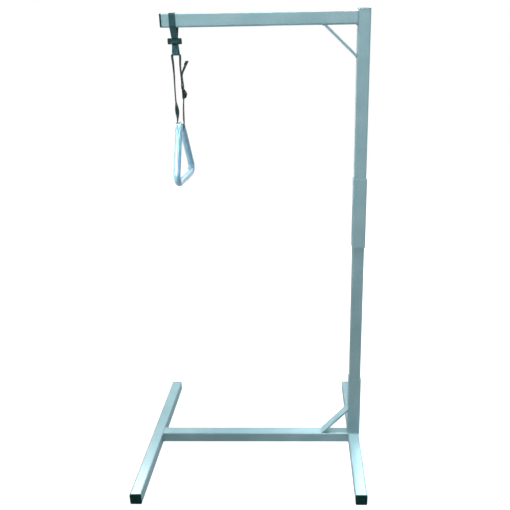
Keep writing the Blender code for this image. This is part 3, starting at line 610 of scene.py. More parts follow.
outline = joint_line(TUBE_SIZE - 0.6 * INSET, TUBE_CORNER, change)
weld("cap_plate_weld", outline, PLATE_BEAD, "upper_mast")
for bar, body, outline in (("base", "base", base_bar), ("boom", "upper_mast", boom_bar)):
    for place, (x, z) in zip(("toe", "heel", "inner", "outer"), outline):
        line = [Vector((x, y, z)) for y in (-BAR_WELD_HALF, BAR_WELD_HALF)]
        weld(f"{bar}_bar_weld_{place}", line, BAR_BEAD, body, closed=False)

# %% [markdown]
# The caps are black plastic plugs: a flange as big as the tube with a softly rounded rim
# and a slightly sunk face, and a hollow plug behind it that grips the inside of the tube.
# Extrudes and insets of one rounded square make the whole of it.

# %% End caps
CAP_RIM = 0.0012
CAP_BORDER, CAP_SLOPE, CAP_SUNK = 0.0035, 0.0008, -0.0006
PLUG_STEPS = ((0.0026, -0.011), (0.0022, 0.010))


def inset(bm, face, width, **options):
    bmesh.ops.inset_region(bm, faces=[face], thickness=width, **options)


def end_cap(name, node, tube, outward, body):
    """A push-in cap for a tube end; outward is the way that its face looks."""
    low, high = corners(node)
    outward = Vector(outward)
    axis = max(range(3), key=lambda index: abs(outward[index]))
    forward = outward[axis] > 0
    mouth = corners(tube)[forward][axis]
    thickness = abs((high if forward else low)[axis] - mouth)
    bm = bmesh.new()
    front = extruded(bm, [rounded_face(bm, TUBE_SIZE, TUBE_CORNER)], (0, 0, thickness))[0]
    bmesh.ops.recalc_face_normals(bm, faces=bm.faces)
    bevelled(bm, list(front.edges), CAP_RIM, 3)
    faces = sorted(bm.faces, key=lambda face: face.calc_center_median().z)
    back, front = faces[0], faces[-1]
    inset(bm, front, CAP_BORDER, use_even_offset=True)
    inset(bm, front, CAP_SLOPE, depth=CAP_SUNK)
    for wall, rise in PLUG_STEPS:
        inset(bm, back, wall, use_even_offset=True)
        inset(bm, back, 0.00001)
        for vert in back.verts:
            vert.co.z += rise
    turn = Vector((0, 0, 1)).rotation_difference(outward).to_matrix().to_4x4()
    spot = (low + high) / 2
    spot[axis] = mouth
    place = Matrix.Translation(spot) @ turn
    publish(bm, name, moulded, body, [node], 35, place)


for side in ("left", "right"):
    for end, way in (("front", -1), ("back", 1)):
        node = f"{side}_{end}_foot_cap"
        end_cap(f"{side}_{end}_cap", node, f"{side}_foot_tube", (0, way, 0), "base")
end_cap("boom_cap", "boom_end_cap", "boom_tube", (-1, 0, 0), "upper_mast")

# %% [markdown]
# Each half of the mast is clamped by bolts from behind. A hexagon nut is welded over a hole
# in the outer tube, and the bolt's tip presses on the tube inside. On a real nut the six
# corners are turned off by a cone, which is made here by carrying a finely divided hexagon
# to a circle just below the face.

# %% Lock bolts and nuts
CONE_RISE = 0.0007
CONE_REACH = 0.97
BOLT_RADIUS, BOLT_PITCH, HEAD = 0.004, 0.00125, 0.0053
NUT_BORE, NUT_BEAD = 0.0042, 0.0011


def hexagon(bm, across, height, bore=0):
    """A hexagon block from z = 0 up, with turned-off corners, and a bore if it has one."""
    bmesh.ops.subdivide_edges(bm, edges=circle(bm, 6, across / math.sqrt(3))[0], cuts=5)
    verts, edges = list(bm.verts), list(bm.edges)
    outline = [vert.co.copy() for vert in verts]
    first = edges
    for index, level in enumerate((0, CONE_RISE, height - CONE_RISE, height)):
        if index:
            edges, verts = grown_ring(bm, edges)
        for vert, spot in zip(verts, outline):
            turned_off = spot.normalized() * across / 2 * CONE_REACH
            vert.co = (turned_off if index in (0, 3) else spot) + Vector((0, 0, level))
    for rim, level in ((first, 0), (edges, height)):
        if bore:
            hole_edges, hole = circle(bm, 36, bore)
            bmesh.ops.translate(bm, verts=hole, vec=(0, 0, level))
            bmesh.ops.bridge_loops(bm, edges=rim + hole_edges)
        else:
            bmesh.ops.edgeloop_fill(bm, edges=rim)
    if bore:
        bmesh.ops.bridge_loops(bm, edges=[edge for edge in bm.edges if edge.is_boundary])


def threaded_rod(bm, length):
    """A rod from z = 0 up whose radius rises and falls once a turn of the thread."""
    steps = round(length / BOLT_PITCH * 2)
    path = [Vector((0, 0, length * step / steps)) for step in range(steps + 1)]
    radii = [BOLT_RADIUS * (0.995 if step % 2 else 0.9) for step in range(steps + 1)]
    radii[0] = BOLT_RADIUS * 0.8
    swept(bm, path, radii, 20)


for stem, body in (
    ("socket_lower", "base"),
    ("socket_upper", "base"),
    ("sleeve_lower", "lower_mast"),
    ("sleeve_upper", "lower_mast"),
):
    nut_node, bolt_node = f"{stem}_lock_nut", f"{stem}_lock_bolt"
    low, high = corners(nut_node)
    tip, head = corners(bolt_node)
    spot = Vector(((low.x + high.x) / 2, low.y, (low.z + high.z) / 2))
    across = min(high.x - low.x, high.z - low.z)
    bm = bmesh.new()
    hexagon(bm, across, high.y - low.y, NUT_BORE)
    place = Matrix.Translation(spot) @ ALONG_Y
    publish(bm, f"{stem}_nut", tube_paint, body, [nut_node], 25, place)
    length = head.y - tip.y - HEAD
    bm = bmesh.new()
    hexagon(bm, across, HEAD)
    bmesh.ops.translate(bm, verts=bm.verts, vec=(0, 0, length))
    threaded_rod(bm, length)
    place = Matrix.Translation((spot.x, tip.y, spot.z)) @ ALONG_Y
    publish(bm, f"{stem}_bolt", zinc, body, [bolt_node], 25, place)
    turns = [math.tau * corner / 6 for corner in range(6)]
    radius = across / math.sqrt(3)
    rim = [spot + Vector((math.cos(turn), 0, math.sin(turn))) * radius for turn in turns]
    weld(f"{stem}_nut_weld", rim, NUT_BEAD, body, ripple=0.0016)

# %% [markdown]
# Two domed buttons stand on the boom, one on each side of the strap, and keep it from
# sliding along. Each is a turned part, so it is a half outline spun about its own axis.


# %% Strap stops
def turned_part(outline, steps):
    """A mesh spun about Z from a half outline of radii and heights."""
    bm = bmesh.new()
    verts = [bm.verts.new((x, 0, z)) for x, z in outline]
    edges = [bm.edges.new(pair) for pair in zip(verts, verts[1:])]
    bmesh.ops.spin(
        bm, geom=verts + edges, axis=(0, 0, 1), angle=math.tau, steps=steps, use_merge=True
    )
    bmesh.ops.remove_doubles(bm, verts=bm.verts, dist=1e-6)
    return bm


SEAT = 0.0003
STEM_RADIUS, STEM_DEPTH = 0.002, -0.0055
for name in ("outer_strap_stop", "inner_strap_stop"):
    low, high = corners(name)
    base = boom_high.z + SEAT
    radius = (high.x - low.x) / 2
    outline = []
    for step in range(9):
        turn = math.pi / 2 * step / 9
        outline.append((radius * math.sin(turn), (high.z - base) * math.cos(turn)))
    outline += [(radius, 0.0011), (radius, 0.0004), (radius - 0.0004, 0.0), (STEM_RADIUS, 0.0)]
    outline += [(STEM_RADIUS, STEM_DEPTH), (0.0, STEM_DEPTH)]
    label = name.replace("strap_stop", "button")
    place = Matrix.Translation(((low.x + high.x) / 2, 0, base))
    bm = turned_part(outline, 40)
    publish(bm, label, bright_zinc, "upper_mast", [name], place=place)

# %% [markdown]
# The straps are webbing: flat, narrow and always the same thickness. Each is drawn by its
# route, a path of points down the middle, and every point becomes a row across the width.
# The rows are joined into a strip, a UV map in metres is laid along it for the weave, and
# Solidify and Bevel give it thickness and round edges.

# %% Routes
WEBBING = 0.0018
GAP = 0.0003
LAYER = WEBBING + GAP
strap_low, strap_high = corners("boom_strap")
STRAP_X = (strap_low.x + strap_high.x) / 2
ACROSS = (-0.5, -0.25, 0, 0.25, 0.5)


def turned(point, angle):
    """A flat point, turned about the origin."""
    return Matrix.Rotation(angle, 2) @ point


def mirrored(points):
    return [Vector((-point.x, point.y)) for point in points]


def beside(points, distance):
    """A path in a plane moved to its left, with mitred corners."""
    moved = []
    for index, point in enumerate(points):
        before = points[max(index - 1, 0)]
        after = points[min(index + 1, len(points) - 1)]
        first = (point - before).normalized() if index else (after - point).normalized()
        second = (after - point).normalized() if index < len(points) - 1 else first
        mitre = Vector((-first.y - second.y, first.x + second.x)).normalized()
        moved.append(point + mitre * distance / mitre.dot(Vector((-first.y, first.x))))
    return moved


def rounded(points, radius, steps=8):
    """The arcs that round the inner corners of a path."""
    arcs = []
    for before, corner, after in zip(points, points[1:], points[2:]):
        inward = (before - corner).normalized()
        outward = (after - corner).normalized()
        half = inward.angle(outward) / 2
        middle = corner + (inward + outward).normalized() * radius / math.sin(half)
        start = corner + inward * radius / math.tan(half) - middle
        turn = math.copysign(math.pi - 2 * half, -inward.cross(outward))
        arcs += [middle + turned(start, turn * k / steps) for k in range(steps + 1)]
    return arcs


def smooth_route(points, steps=10):
    """A smooth curve through all the points."""
    padded = [2 * points[0] - points[1], *points, 2 * points[-1] - points[-2]]
    curve = []
    for a, b, c, d in zip(padded, padded[1:], padded[2:], padded[3:]):
        for step in range(steps):
            t = step / steps
            bend = (2 * a - 5 * b + 4 * c - d) * t * t + (3 * b - a - 3 * c + d) * t * t * t
            curve.append(b + ((c - a) * t + bend) / 2)
    return curve + [points[-1]]


def flat(*points):
    return [Vector(point) for point in points]


def millimetres(*points):
    return [Vector((x / 1000, z / 1000)) for x, z in points]


# %% Webbing from rows
def ribbon(name, rows, finish, *stands_for, closed=False):
    """Webbing through rows of points, with its weave laid along it."""
    loop = rows + rows[:1] if closed else rows
    bm = bmesh.new()
    weave = bm.loops.layers.uv.new("weave")
    verts = [bm.verts.new(point) for point in loop[0]]
    edges = [bm.edges.new(pair) for pair in zip(verts, verts[1:])]
    middle = len(loop[0]) // 2
    spots = {}
    along = 0.0
    for index, row in enumerate(loop):
        if index:
            edges, verts = grown_ring(bm, edges)
            along += (row[middle] - loop[index - 1][middle]).length
        across = 0.0
        for place, (vert, point) in enumerate(zip(verts, row)):
            vert.co = point
            across += (point - row[place - 1]).length if place else 0
            spots[vert] = (across, along)
    for face in bm.faces:
        for corner in face.loops:
            corner[weave].uv = spots[corner.vert]
    if closed:
        bmesh.ops.remove_doubles(bm, verts=bm.verts, dist=1e-6)
    piece = publish(bm, name, finish, None, stands_for, 50)
    piece.modifiers.clear()
    thick = piece.modifiers.new("thickness", "SOLIDIFY")
    thick.thickness = WEBBING
    thick.offset = 0.0
    thick.use_even_offset = True
    edge = piece.modifiers.new("selvedge", "BEVEL")
    edge.width = WEBBING * 0.4
    edge.segments = 3
    edge.limit_method = "ANGLE"
    edge.angle_limit = math.radians(60)
    graph = bpy.context.evaluated_depsgraph_get()
    piece.data = bpy.data.meshes.new_from_object(piece.evaluated_get(graph))
    piece.modifiers.clear()
    shade(piece.data, 50)
    print(f"{name}: {along * 1000:.0f} mm of webbing")
    return piece


def blended(webbing, upper, lower, top, low):
    """Bake the webbing's place into its mesh; the two bodies and the two heights are not used."""
    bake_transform(webbing)


# %% [markdown]
# The strap that hangs from the boom is one endless band. It wraps over the boom, both its
# layers weave down through the three-bar slide, and it opens again into a small bight that
# the hand loop hangs in. The slide holds it still; only the bight swings.

# %% The boom strap
SLIDE_BAR = 0.0035
SLIDE_SLOT = 0.005
BIGHT_BEND = 0.0024
slide_low, slide_high = corners("strap_slide")
SLIDE_MIDDLE = (slide_low.z + slide_high.z) / 2
SLIDE_HALF = (slide_high.z - slide_low.z) / 2
SLIDE_HINGE = SLIDE_MIDDLE - SLIDE_HALF - GAP - (LAYER + WEBBING) / 2
slot_middle = (SLIDE_BAR + SLIDE_SLOT) / 2
front = slide_low.y - GAP - (LAYER + WEBBING) / 2
weave_line = flat(
    (0, SLIDE_MIDDLE - SLIDE_HALF),
    (0, SLIDE_MIDDLE - slot_middle),
    (front, SLIDE_MIDDLE - slot_middle),
    (front, SLIDE_MIDDLE + slot_middle),
    (0, SLIDE_MIDDLE + slot_middle),
    (0, SLIDE_MIDDLE + SLIDE_HALF + GAP),
)
near = beside(weave_line, LAYER / 2)
far = beside(weave_line, -LAYER / 2)
turn_radius = TUBE_CORNER + GAP + WEBBING / 2
side = TUBE_SIZE / 2 + GAP + WEBBING / 2
reach = Vector((TUBE_CORNER - TUBE_SIZE / 2, boom_low.z + TUBE_CORNER)) - near[-1]
run = turned(reach, math.asin(turn_radius / reach.length))
low_corner = near[-1] + run * (-side - near[-1].x) / run.x
top_corner = Vector((-side, boom_high.z + GAP + WEBBING / 2))
wrap = rounded([near[-1], low_corner, top_corner], turn_radius)
wrap += rounded([low_corner, top_corner, Vector((0, top_corner.y))], turn_radius, 10)

bight_low, bight_high = corners("strap_bight")
bight_depth = (bight_high.y - bight_low.y - WEBBING) / 2
bottom = bight_low.z + WEBBING / 2
bight_top = SLIDE_HINGE + 0.0012
bight_line = flat(
    (LAYER / 2, bight_top),
    (bight_depth, bottom),
    (-bight_depth, bottom),
    (-LAYER / 2, bight_top),
)
band = near + wrap + mirrored(reversed(wrap)) + far[::-1]
band += [bight_line[0], *rounded(bight_line, BIGHT_BEND), bight_line[-1]]
width = strap_high.x - strap_low.x
rows = [[Vector((STRAP_X + place * width, *point)) for place in ACROSS] for point in band]
strap = ribbon("boom_strap_band", rows, strap_cloth, closed=True)
blended(strap, "upper_mast", "bight", SLIDE_HINGE + 0.003, SLIDE_HINGE - 0.010)
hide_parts("boom_strap", "strap_bight")

# %% [markdown]
# The three-bar slide is a small ladder. A grid of three by five faces is one already: two
# of its faces are the slots, so they are deleted, the grid lines are moved to the bars'
# real places, and the rest is pulled to its thickness. Its corners and edges are rounded.

# %% Three-bar slide
bm = bmesh.new()
bmesh.ops.create_grid(bm, x_segments=3, y_segments=5, size=0.5)
SLOT_HALF = 0.0126
CORNER_RADIUS, EDGE_RADIUS = 0.004, 0.0009
half_slide = (slide_high.x - slide_low.x) / 2
columns = [-half_slide, -SLOT_HALF, SLOT_HALF, half_slide]
bars = [-SLIDE_HALF, -SLIDE_HALF + SLIDE_BAR, -SLIDE_BAR / 2]
bars += [-level for level in reversed(bars)]
for vert in bm.verts:
    column = round((vert.co.x + 0.5) * 3)
    bar = round((vert.co.y + 0.5) * 5)
    vert.co = Vector((columns[column], bars[bar], 0))
slots = []
for face in bm.faces:
    middle = face.calc_center_median()
    if abs(middle.x) < 0.001 and abs(abs(middle.y) - slot_middle) < 0.001:
        slots.append(face)
bmesh.ops.delete(bm, geom=slots, context="FACES_ONLY")
thickness = slide_high.y - slide_low.y
extruded(bm, list(bm.faces), (0, 0, thickness))
bmesh.ops.recalc_face_normals(bm, faces=bm.faces)
upright = []
for edge in bm.edges:
    start, end = (vert.co for vert in edge.verts)
    at_corner = abs(start.x) > half_slide - 1e-6 and abs(start.y) > SLIDE_HALF - 1e-6
    if at_corner and abs(start.z - end.z) > 0.001:
        upright.append(edge)
bevelled(bm, upright, CORNER_RADIUS, 6)
bmesh.ops.dissolve_limit(
    bm, angle_limit=math.radians(1), verts=bm.verts, edges=bm.edges, use_dissolve_boundaries=False
)
soften(bm, EDGE_RADIUS, 3, angle=60)
place = Matrix.Translation((STRAP_X, slide_low.y + thickness, SLIDE_MIDDLE))
place = place @ Matrix.Rotation(math.pi / 2, 4, "X")
publish(bm, "three_bar_slide", lacquer, "upper_mast", ["strap_slide"], place=place)

# %% [markdown]
# The hand loop is narrower webbing. It lies across the bight, comes down as two strands,
# and carries the grip. Its left strand has a half twist near the bottom, which is why the
# photograph shows it wide there and thin above. The strands turn a few degrees on their
# way down, from the bight's plane to the grip's plane.

# %% Hand loop routes
LOOP_WIDTH = 0.020
SHOULDER = 1.6115
LOOP_HALF = 0.0145
LOOP_YAW = math.radians(-8.0)
CROWN_BEND = 0.0028
BUCKLE_MIDDLE = 1.490
BUCKLE_TOP = BUCKLE_MIDDLE + 0.020
BUCKLE_OFFSET = 0.014
BUCKLE_SHEET = 0.0015
BUCKLE_YAW = math.radians(1.5)
STIFF_ABOVE, STIFF_BELOW, STIFF_FOOT = 0.035, 0.028, 0.010
GRIP_SHIFT = -0.0035
GRIP_TOP = 1.3757
GRIP_YAW = math.radians(-5.0)
GRIP_TILT = math.radians(2.7)
GRIP_TUBE = 0.0254
SLING = GRIP_TUBE / 2 + GAP + WEBBING / 2
BEND_TOP = 0.0272
SLING_REACH = BEND_TOP - SLING
SLING_HALF = math.asin(LOOP_WIDTH / 2 / BEND_TOP)
WRAP_PAST = math.radians(20.0)
GATHER = 0.026
TWIST_MIDDLE, TWIST_REACH, TWIST = 1.428, 0.034, math.radians(-30.0)
FLARE_FROM, FLARE_OVER, FLARE = 1.525, 0.06, math.radians(-7.0)


def clamped(part):
    return min(1.0, max(0.0, part))


def eased(part):
    """A soft step from 0 to 1."""
    return part * part * (3 - 2 * part)


def loop_turn(height):
    """Turn of the hand loop about the vertical at a height."""
    upper, lower = BUCKLE_MIDDLE + STIFF_ABOVE, BUCKLE_MIDDLE - STIFF_BELOW
    rising = clamped((height - upper) / (SHOULDER - upper))
    sinking = clamped((lower - height) / (lower - GRIP_TOP - STIFF_FOOT))
    return BUCKLE_YAW + rising * (LOOP_YAW - BUCKLE_YAW) + sinking * (GRIP_YAW - BUCKLE_YAW)


def half_twist(height):
    """Extra turn of the left strand round the middle of its half twist."""
    return TWIST * eased(clamped(1 - abs(height - TWIST_MIDDLE) / TWIST_REACH))


def tail_flare(height):
    """Extra turn of the free tail towards its end."""
    return FLARE * eased(clamped((height - FLARE_FROM) / FLARE_OVER))


def loop_rows(path, extra=None):
    """Rows of the hand loop, from a route in its own plane."""
    rows = []
    for point in path:
        turn = loop_turn(point.y)
        centre = Vector((STRAP_X + point.x * math.cos(turn), point.x * math.sin(turn), point.y))
        if extra:
            turn += extra(point.y)
        across = Vector((-math.sin(turn), math.cos(turn), 0)) * LOOP_WIDTH
        rows.append([centre + across * place for place in ACROSS])
    return rows


def gathered(rows, foot, side):
    """A strand's rows, gathered and cupped on the way down to its foot on the grip."""
    for row in rows:
        middle = row[2]
        part = eased(clamped(1 - (middle.z - foot) / GATHER))
        across = (row[-1] - row[0]).normalized()
        away = Vector((across.y, -across.x, 0)) * side
        narrow = 1 + part * (SLING_REACH / BEND_TOP - 1)
        for place in range(5):
            cup = SLING_REACH * (1 - math.cos(SLING_HALF * (place / 2 - 1)))
            row[place] = middle + (row[place] - middle) * narrow + away * cup * part
    return rows


# %% Hand loop strands
shoulder = SHOULDER - GAP
crown_z = bottom + WEBBING + 2 * GAP
crown_line = flat(
    (-LOOP_HALF, shoulder), (-LOOP_HALF, crown_z), (LOOP_HALF, crown_z), (LOOP_HALF, shoulder)
)
crown_path = [crown_line[0], *rounded(crown_line, CROWN_BEND), crown_line[-1]]
crown = ribbon("hand_loop_crown", loop_rows(crown_path), loop_cloth, "loop_top")
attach(crown, "bight")

contact = Vector(
    (GRIP_SHIFT - SLING * math.cos(WRAP_PAST), GRIP_TOP + SLING * math.sin(WRAP_PAST))
)
lead = Vector((math.sin(WRAP_PAST), math.cos(WRAP_PAST)))
left_path = flat((-LOOP_HALF, shoulder), (-LOOP_HALF, SHOULDER - 0.004))
left_path += millimetres((-12.9, 1590), (-12.2, 1550), (-13.1, 1505), (-13.4, 1467))
left_path += millimetres((-12.0, 1440), (-11.2, 1412))
left_path += [contact + lead * 0.012, contact + lead * 0.0006]
left_rows = gathered(loop_rows(smooth_route(left_path), half_twist), contact.y, -1)
STRAND_SPLIT = 1.530
BENDS_FROM_LEFT, BENDS_FROM_RIGHT, ABOVE_GRIP = 1.525, 1.484, 1.392
split = next(index for index, row in enumerate(left_rows) if row[2].z < STRAND_SPLIT)
upper_rows, lower_rows = left_rows[: split + 1], left_rows[split:]
left_upper = ribbon("hand_loop_left_upper", upper_rows, loop_cloth, "loop_left_strand")
below_shoulder = (SHOULDER - 0.0005, SHOULDER - 0.022)
blended(left_upper, "bight", "loop", *below_shoulder)
left_lower = ribbon("hand_loop_left_lower", lower_rows, loop_cloth)
blended(left_lower, "loop", "sling", BENDS_FROM_LEFT, ABOVE_GRIP)

SLOT_Z = BUCKLE_MIDDLE + 0.0145
BAR_BEND = 0.0013
behind = BUCKLE_OFFSET - BUCKLE_SHEET / 2 - GAP - WEBBING / 2
before = BUCKLE_OFFSET + BUCKLE_SHEET / 2 + GAP + WEBBING / 2
right_path = flat((LOOP_HALF, shoulder), (LOOP_HALF, SHOULDER - 0.004))
right_path += millimetres((13.2, 1596), (12.4, 1575), (12.9, 1550), (13.0, 1530))
right_path = smooth_route(right_path + flat((behind, BUCKLE_TOP + 0.003)))
under_bar = flat((behind, SLOT_Z), (before, SLOT_Z), (before, BUCKLE_TOP))
right_path += rounded([right_path[-1], *under_bar], BAR_BEND, 4)
right_path += flat((before, BUCKLE_TOP + 0.006))
right = ribbon("hand_loop_right", loop_rows(right_path), loop_cloth, "loop_right_strand")
blended(right, "bight", "loop", *below_shoulder)

HEM = 0.012
outer = before + LAYER
tail_path = flat((before, BUCKLE_MIDDLE), (before, BUCKLE_MIDDLE + 0.006))
tail_path += flat((outer, BUCKLE_MIDDLE + 0.0115))
tail_end = flat((outer, BUCKLE_MIDDLE + 0.028))
tail_end += millimetres((15.9, 1538), (15.6, 1550), (18.2, 1560), (22.5, 1568), (30.5, 1583))
tail_path += smooth_route(tail_end + millimetres((38.3, 1596)))
tip = tail_path[-1]
ahead = (tip - tail_path[-2]).normalized()
aside = Vector((-ahead.y, ahead.x)) * LAYER
fold = [tip, tip + ahead * LAYER, tip + ahead * LAYER + aside, tip + aside]
tail_path += rounded(fold[:3], LAYER / 2, 4) + rounded(fold[1:], LAYER / 2 - 0.00001, 4)
tail_path += [fold[3], fold[3] - ahead * HEM]
tail = ribbon("hand_loop_tail", loop_rows(tail_path, tail_flare), loop_cloth, "loop_tail")
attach(tail, "loop")

strand_x = GRIP_SHIFT + SLING
lift_path = flat((strand_x, GRIP_TOP + 0.0006), (strand_x, GRIP_TOP + 0.008))
lift_path += millimetres((10.8, 1398), (12.2, 1430), (14.2, 1456)) + flat((before, 1.470))
lift_path = smooth_route(lift_path) + flat((before, BUCKLE_MIDDLE - GAP))
lift_rows = gathered(loop_rows(lift_path), GRIP_TOP, 1)
lift = ribbon("hand_loop_right_lower", lift_rows, loop_cloth, "loop_lower_strand")
blended(lift, "loop", "sling", BENDS_FROM_RIGHT, ABOVE_GRIP)

# %% [markdown]
# Under the grip the webbing hugs a tube that is itself bent, so it gathers to half its
# width and takes a saddle shape: round one way under the tube, and round the other way with
# the bend. Every row is the same small arc, turned a little further about the top of the
# tube. A shape made by turning stays clear of the grip however far the grip rocks in it.

# %% The sling under the grip
GRIP = Matrix.Translation((STRAP_X + GRIP_SHIFT, 0, GRIP_TOP))
GRIP = GRIP @ Matrix.Rotation(GRIP_YAW, 4, "Z") @ Matrix.Rotation(GRIP_TILT, 4, "X")
SLING_STEPS = 36
sling_rows = []
for step in range(SLING_STEPS + 1):
    angle = -(math.pi + WRAP_PAST) * step / SLING_STEPS
    row = []
    for place in range(-4, 5):
        turn = SLING_HALF * place / 4
        out = BEND_TOP - SLING_REACH * math.cos(turn)
        side = SLING_REACH * math.sin(turn)
        row.append(GRIP @ Vector((out * math.cos(angle), side, out * math.sin(angle))))
    sling_rows.append(row)
sling = ribbon("grip_sling", sling_rows, loop_cloth, "handle_sling")
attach(sling, "sling")

# %% [markdown]
# The grip is one steel tube, bent into a closed triangle and welded shut in the middle of
# the base. A bender leaves each bend with a constant radius, so the mesh is made the same
# way: a circle is extruded along the straight parts and spun through the bends.

# %% The grip
DROP = 0.1965
TOP_HALF = 0.0168
BASE_HALF = 0.1147
BEND_BASE = 0.028
SEAM_BEAD = 0.0005
bends = (
    (Vector((TOP_HALF, 0)), BEND_TOP),
    (Vector((BASE_HALF, -DROP)), BEND_BASE),
    (Vector((-BASE_HALF, -DROP)), BEND_BASE),
    (Vector((-TOP_HALF, 0)), BEND_TOP),
)
bm = bmesh.new()
edges, verts = circle(bm, 32, GRIP_TUBE / 2)
bmesh.ops.rotate(bm, verts=verts, cent=(0, 0, 0), matrix=Matrix.Rotation(math.pi / 2, 3, "X"))
spot = Vector((0, 0))
for index, (corner, radius) in enumerate(bends):
    inward = (spot - corner).normalized()
    outward = (bends[(index + 1) % 4][0] - corner).normalized()
    half = inward.angle(outward) / 2
    edges, verts = grown_ring(bm, edges)
    way = corner + inward * radius / math.tan(half) - spot
    bmesh.ops.translate(bm, verts=verts, vec=(0, *way))
    middle = corner + (inward + outward).normalized() * radius / math.sin(half)
    bend = {"cent": (0, *middle), "axis": (-1, 0, 0), "angle": math.pi - 2 * half}
    edges = only("BMEdge", bmesh.ops.spin(bm, geom=edges, steps=14, **bend)["geom_last"])
    spot = corner + outward * radius / math.tan(half)
edges, verts = grown_ring(bm, edges)
bmesh.ops.translate(bm, verts=verts, vec=(0, *-spot))
bmesh.ops.remove_doubles(bm, verts=bm.verts, dist=1e-5)
publish(bm, "grip_tube", polished, "handle", ["handle_tube"], place=GRIP)

seam_ring = []
for step in range(48):
    turn = math.tau * step / 48
    point = Vector((math.cos(turn), 0, math.sin(turn))) * GRIP_TUBE / 2
    seam_ring.append(GRIP @ (point - Vector((0, 0, DROP))))
weld("grip_seam", seam_ring, SEAM_BEAD, "handle", ripple=0.0012, finish=polished)

# %% [markdown]
# The cam buckle lets the loop out and takes it in. A folded steel frame carries a pin, and
# on the pin turns a cam whose toothed nose bites the webbing against the frame; a spring
# keeps it closed and a thumb lever opens it. Each sheet part is an outline pulled sideways.

# %% Buckle frame and pin
BUCKLE = Matrix.Translation((STRAP_X, 0, BUCKLE_MIDDLE)) @ Matrix.Rotation(BUCKLE_YAW, 4, "Z")
BUCKLE = BUCKLE @ Matrix.Translation((BUCKLE_OFFSET, 0, 0))
INNER = 0.0226
BUCKLE_HALF = 0.020
FRAME_SLOT = (0.0125, 0.0165)
PIN_RADIUS = 0.0018
inside = -BUCKLE_SHEET / 2
ear = [(inside, -BUCKLE_HALF)]
for step in range(17):
    angle = math.radians(-90 + 150 * step / 16)
    rise = 0.016 if angle < 0 else 0.012
    ear.append((0.0035 + 0.010 * math.cos(angle), -0.004 + rise * math.sin(angle)))
ear += [(0.0048, 0.0130), (-inside, BUCKLE_HALF), (inside, BUCKLE_HALF)]
bm = bmesh.new()
slab(bm, ear, INNER / 2, INNER / 2 + BUCKLE_SHEET)
slab(bm, ear, -INNER / 2 - BUCKLE_SHEET, -INNER / 2)
for z_low, z_high in ((-BUCKLE_HALF, FRAME_SLOT[0]), (FRAME_SLOT[1], BUCKLE_HALF)):
    plate = [(inside, z_low), (-inside, z_low), (-inside, z_high), (inside, z_high)]
    slab(bm, plate, -INNER / 2 - 0.0002, INNER / 2 + 0.0002)
soften(bm, 0.0003, 2, angle=45)
publish(bm, "cam_buckle_frame", buckle_black, "loop", ["buckle_frame"], place=BUCKLE)

PIN = BUCKLE @ Matrix.Translation((0.0084, 0, 0.0005))
half_pin = INNER / 2 + BUCKLE_SHEET
outline = [(0.0, half_pin + 0.0005), (0.0012, half_pin + 0.0005)]
outline += [(PIN_RADIUS, half_pin + 0.0002), (PIN_RADIUS, 0.0)]
outline += [(x, -y) for x, y in reversed(outline[:-1])]
bm = turned_part(outline, 24)
place = PIN @ ALONG_Y
publish(bm, "cam_buckle_pin", buckle_black, "loop", ["buckle_pin"], place=place)

# %% Cam and spring
CAM_LOW, CAM_HIGH = -0.01045, 0.00605
nose = [(-4.7, -0.4), (-5.1, 0.8), (-5.0, 2.2), (-3.6, 3.9), (0, 4.3), (3.2, 4.4)]
lever = [(5.2, 3.0), (6.5, -1.0), (6.9, -6.0), (5.7, -12.0), (3.0, -17.6)]
back = [(1.7, -17.2), (4.1, -11.6), (5.0, -6.0), (4.4, -2.6), (1.6, -3.8), (-1.6, -3.7)]
teeth = [(-3.7, -1.8), (-4.3, -1.6), (-4.1, -1.0)]
bm = bmesh.new()
slab(bm, millimetres(*nose, *lever, *back, *teeth), CAM_LOW, CAM_HIGH)
soften(bm, 0.0003, 2, angle=30)
publish(bm, "cam_with_lever", buckle_black, "cam", ["buckle_cam"], place=PIN)

WIRE = 0.00035
PITCH = 2 * WIRE + 0.0005
COIL = 0.003
coil = []
for step in range(3 * 24 + 1):
    angle = math.tau * step / 24
    y = CAM_HIGH + 2 * WIRE + PITCH * step / 24
    coil.append(PIN @ Vector((COIL * math.cos(angle), y, COIL * math.sin(angle))))
bm = bmesh.new()
swept(bm, coil, [WIRE] * len(coil), 8)
publish(bm, "cam_spring", zinc, "loop", ["buckle_spring"])

# %% [markdown]
# A photograph's viewpoint is part of its likeness. The camera stands where lines measured
# in the picture say it stood: a little left of the mast, at shoulder height, tilted down.
# The picture's optical centre isn't in its middle, so the lens is shifted sideways.

# %% Camera
PICTURE = 510
FOCAL = 575.5503
CENTRE_X = 287.9335
EYE = (0.2144422, -2.1347068, 1.6347467)
pitch, yaw, roll = (math.radians(angle) for angle in (19.7386, -1.6043, 0.9554))
data = bpy.data.cameras.new("camera")
data.sensor_width = 36
data.lens = data.sensor_width * FOCAL / PICTURE
data.shift_x = 0.5 - CENTRE_X / PICTURE
data.clip_start = 0.05
camera = new_object("camera", data)
turn = Matrix.Rotation(-yaw, 4, "Z") @ Matrix.Rotation(math.pi / 2 - pitch, 4, "X")
camera.matrix_world = Matrix.Translation(EYE) @ turn @ Matrix.Rotation(-roll, 4, "Z")
bpy.context.scene.camera = camera

# %% [markdown]
# The object stands on a plain white floor. The floor takes its soft shadow, and a light of
# its own, which only the camera and mirrored rays see, lifts the rest of it to the white of
# the photograph. That light is a little weaker under the object, so that the shadow shows,
# and rises to full white further out. The sky is dim for lighting and white where it's seen.


# %% Floor and sky
FLOOR_BOUNCE, FLOOR_SEEN, SKY_LIGHT = 0.42, 0.3, 0.17
SHADED_TO, WHITE_FROM, SHADED_GLOW = 0.7, 2.2, 0.87


def grey(level):
    return (level, level, level, 1)


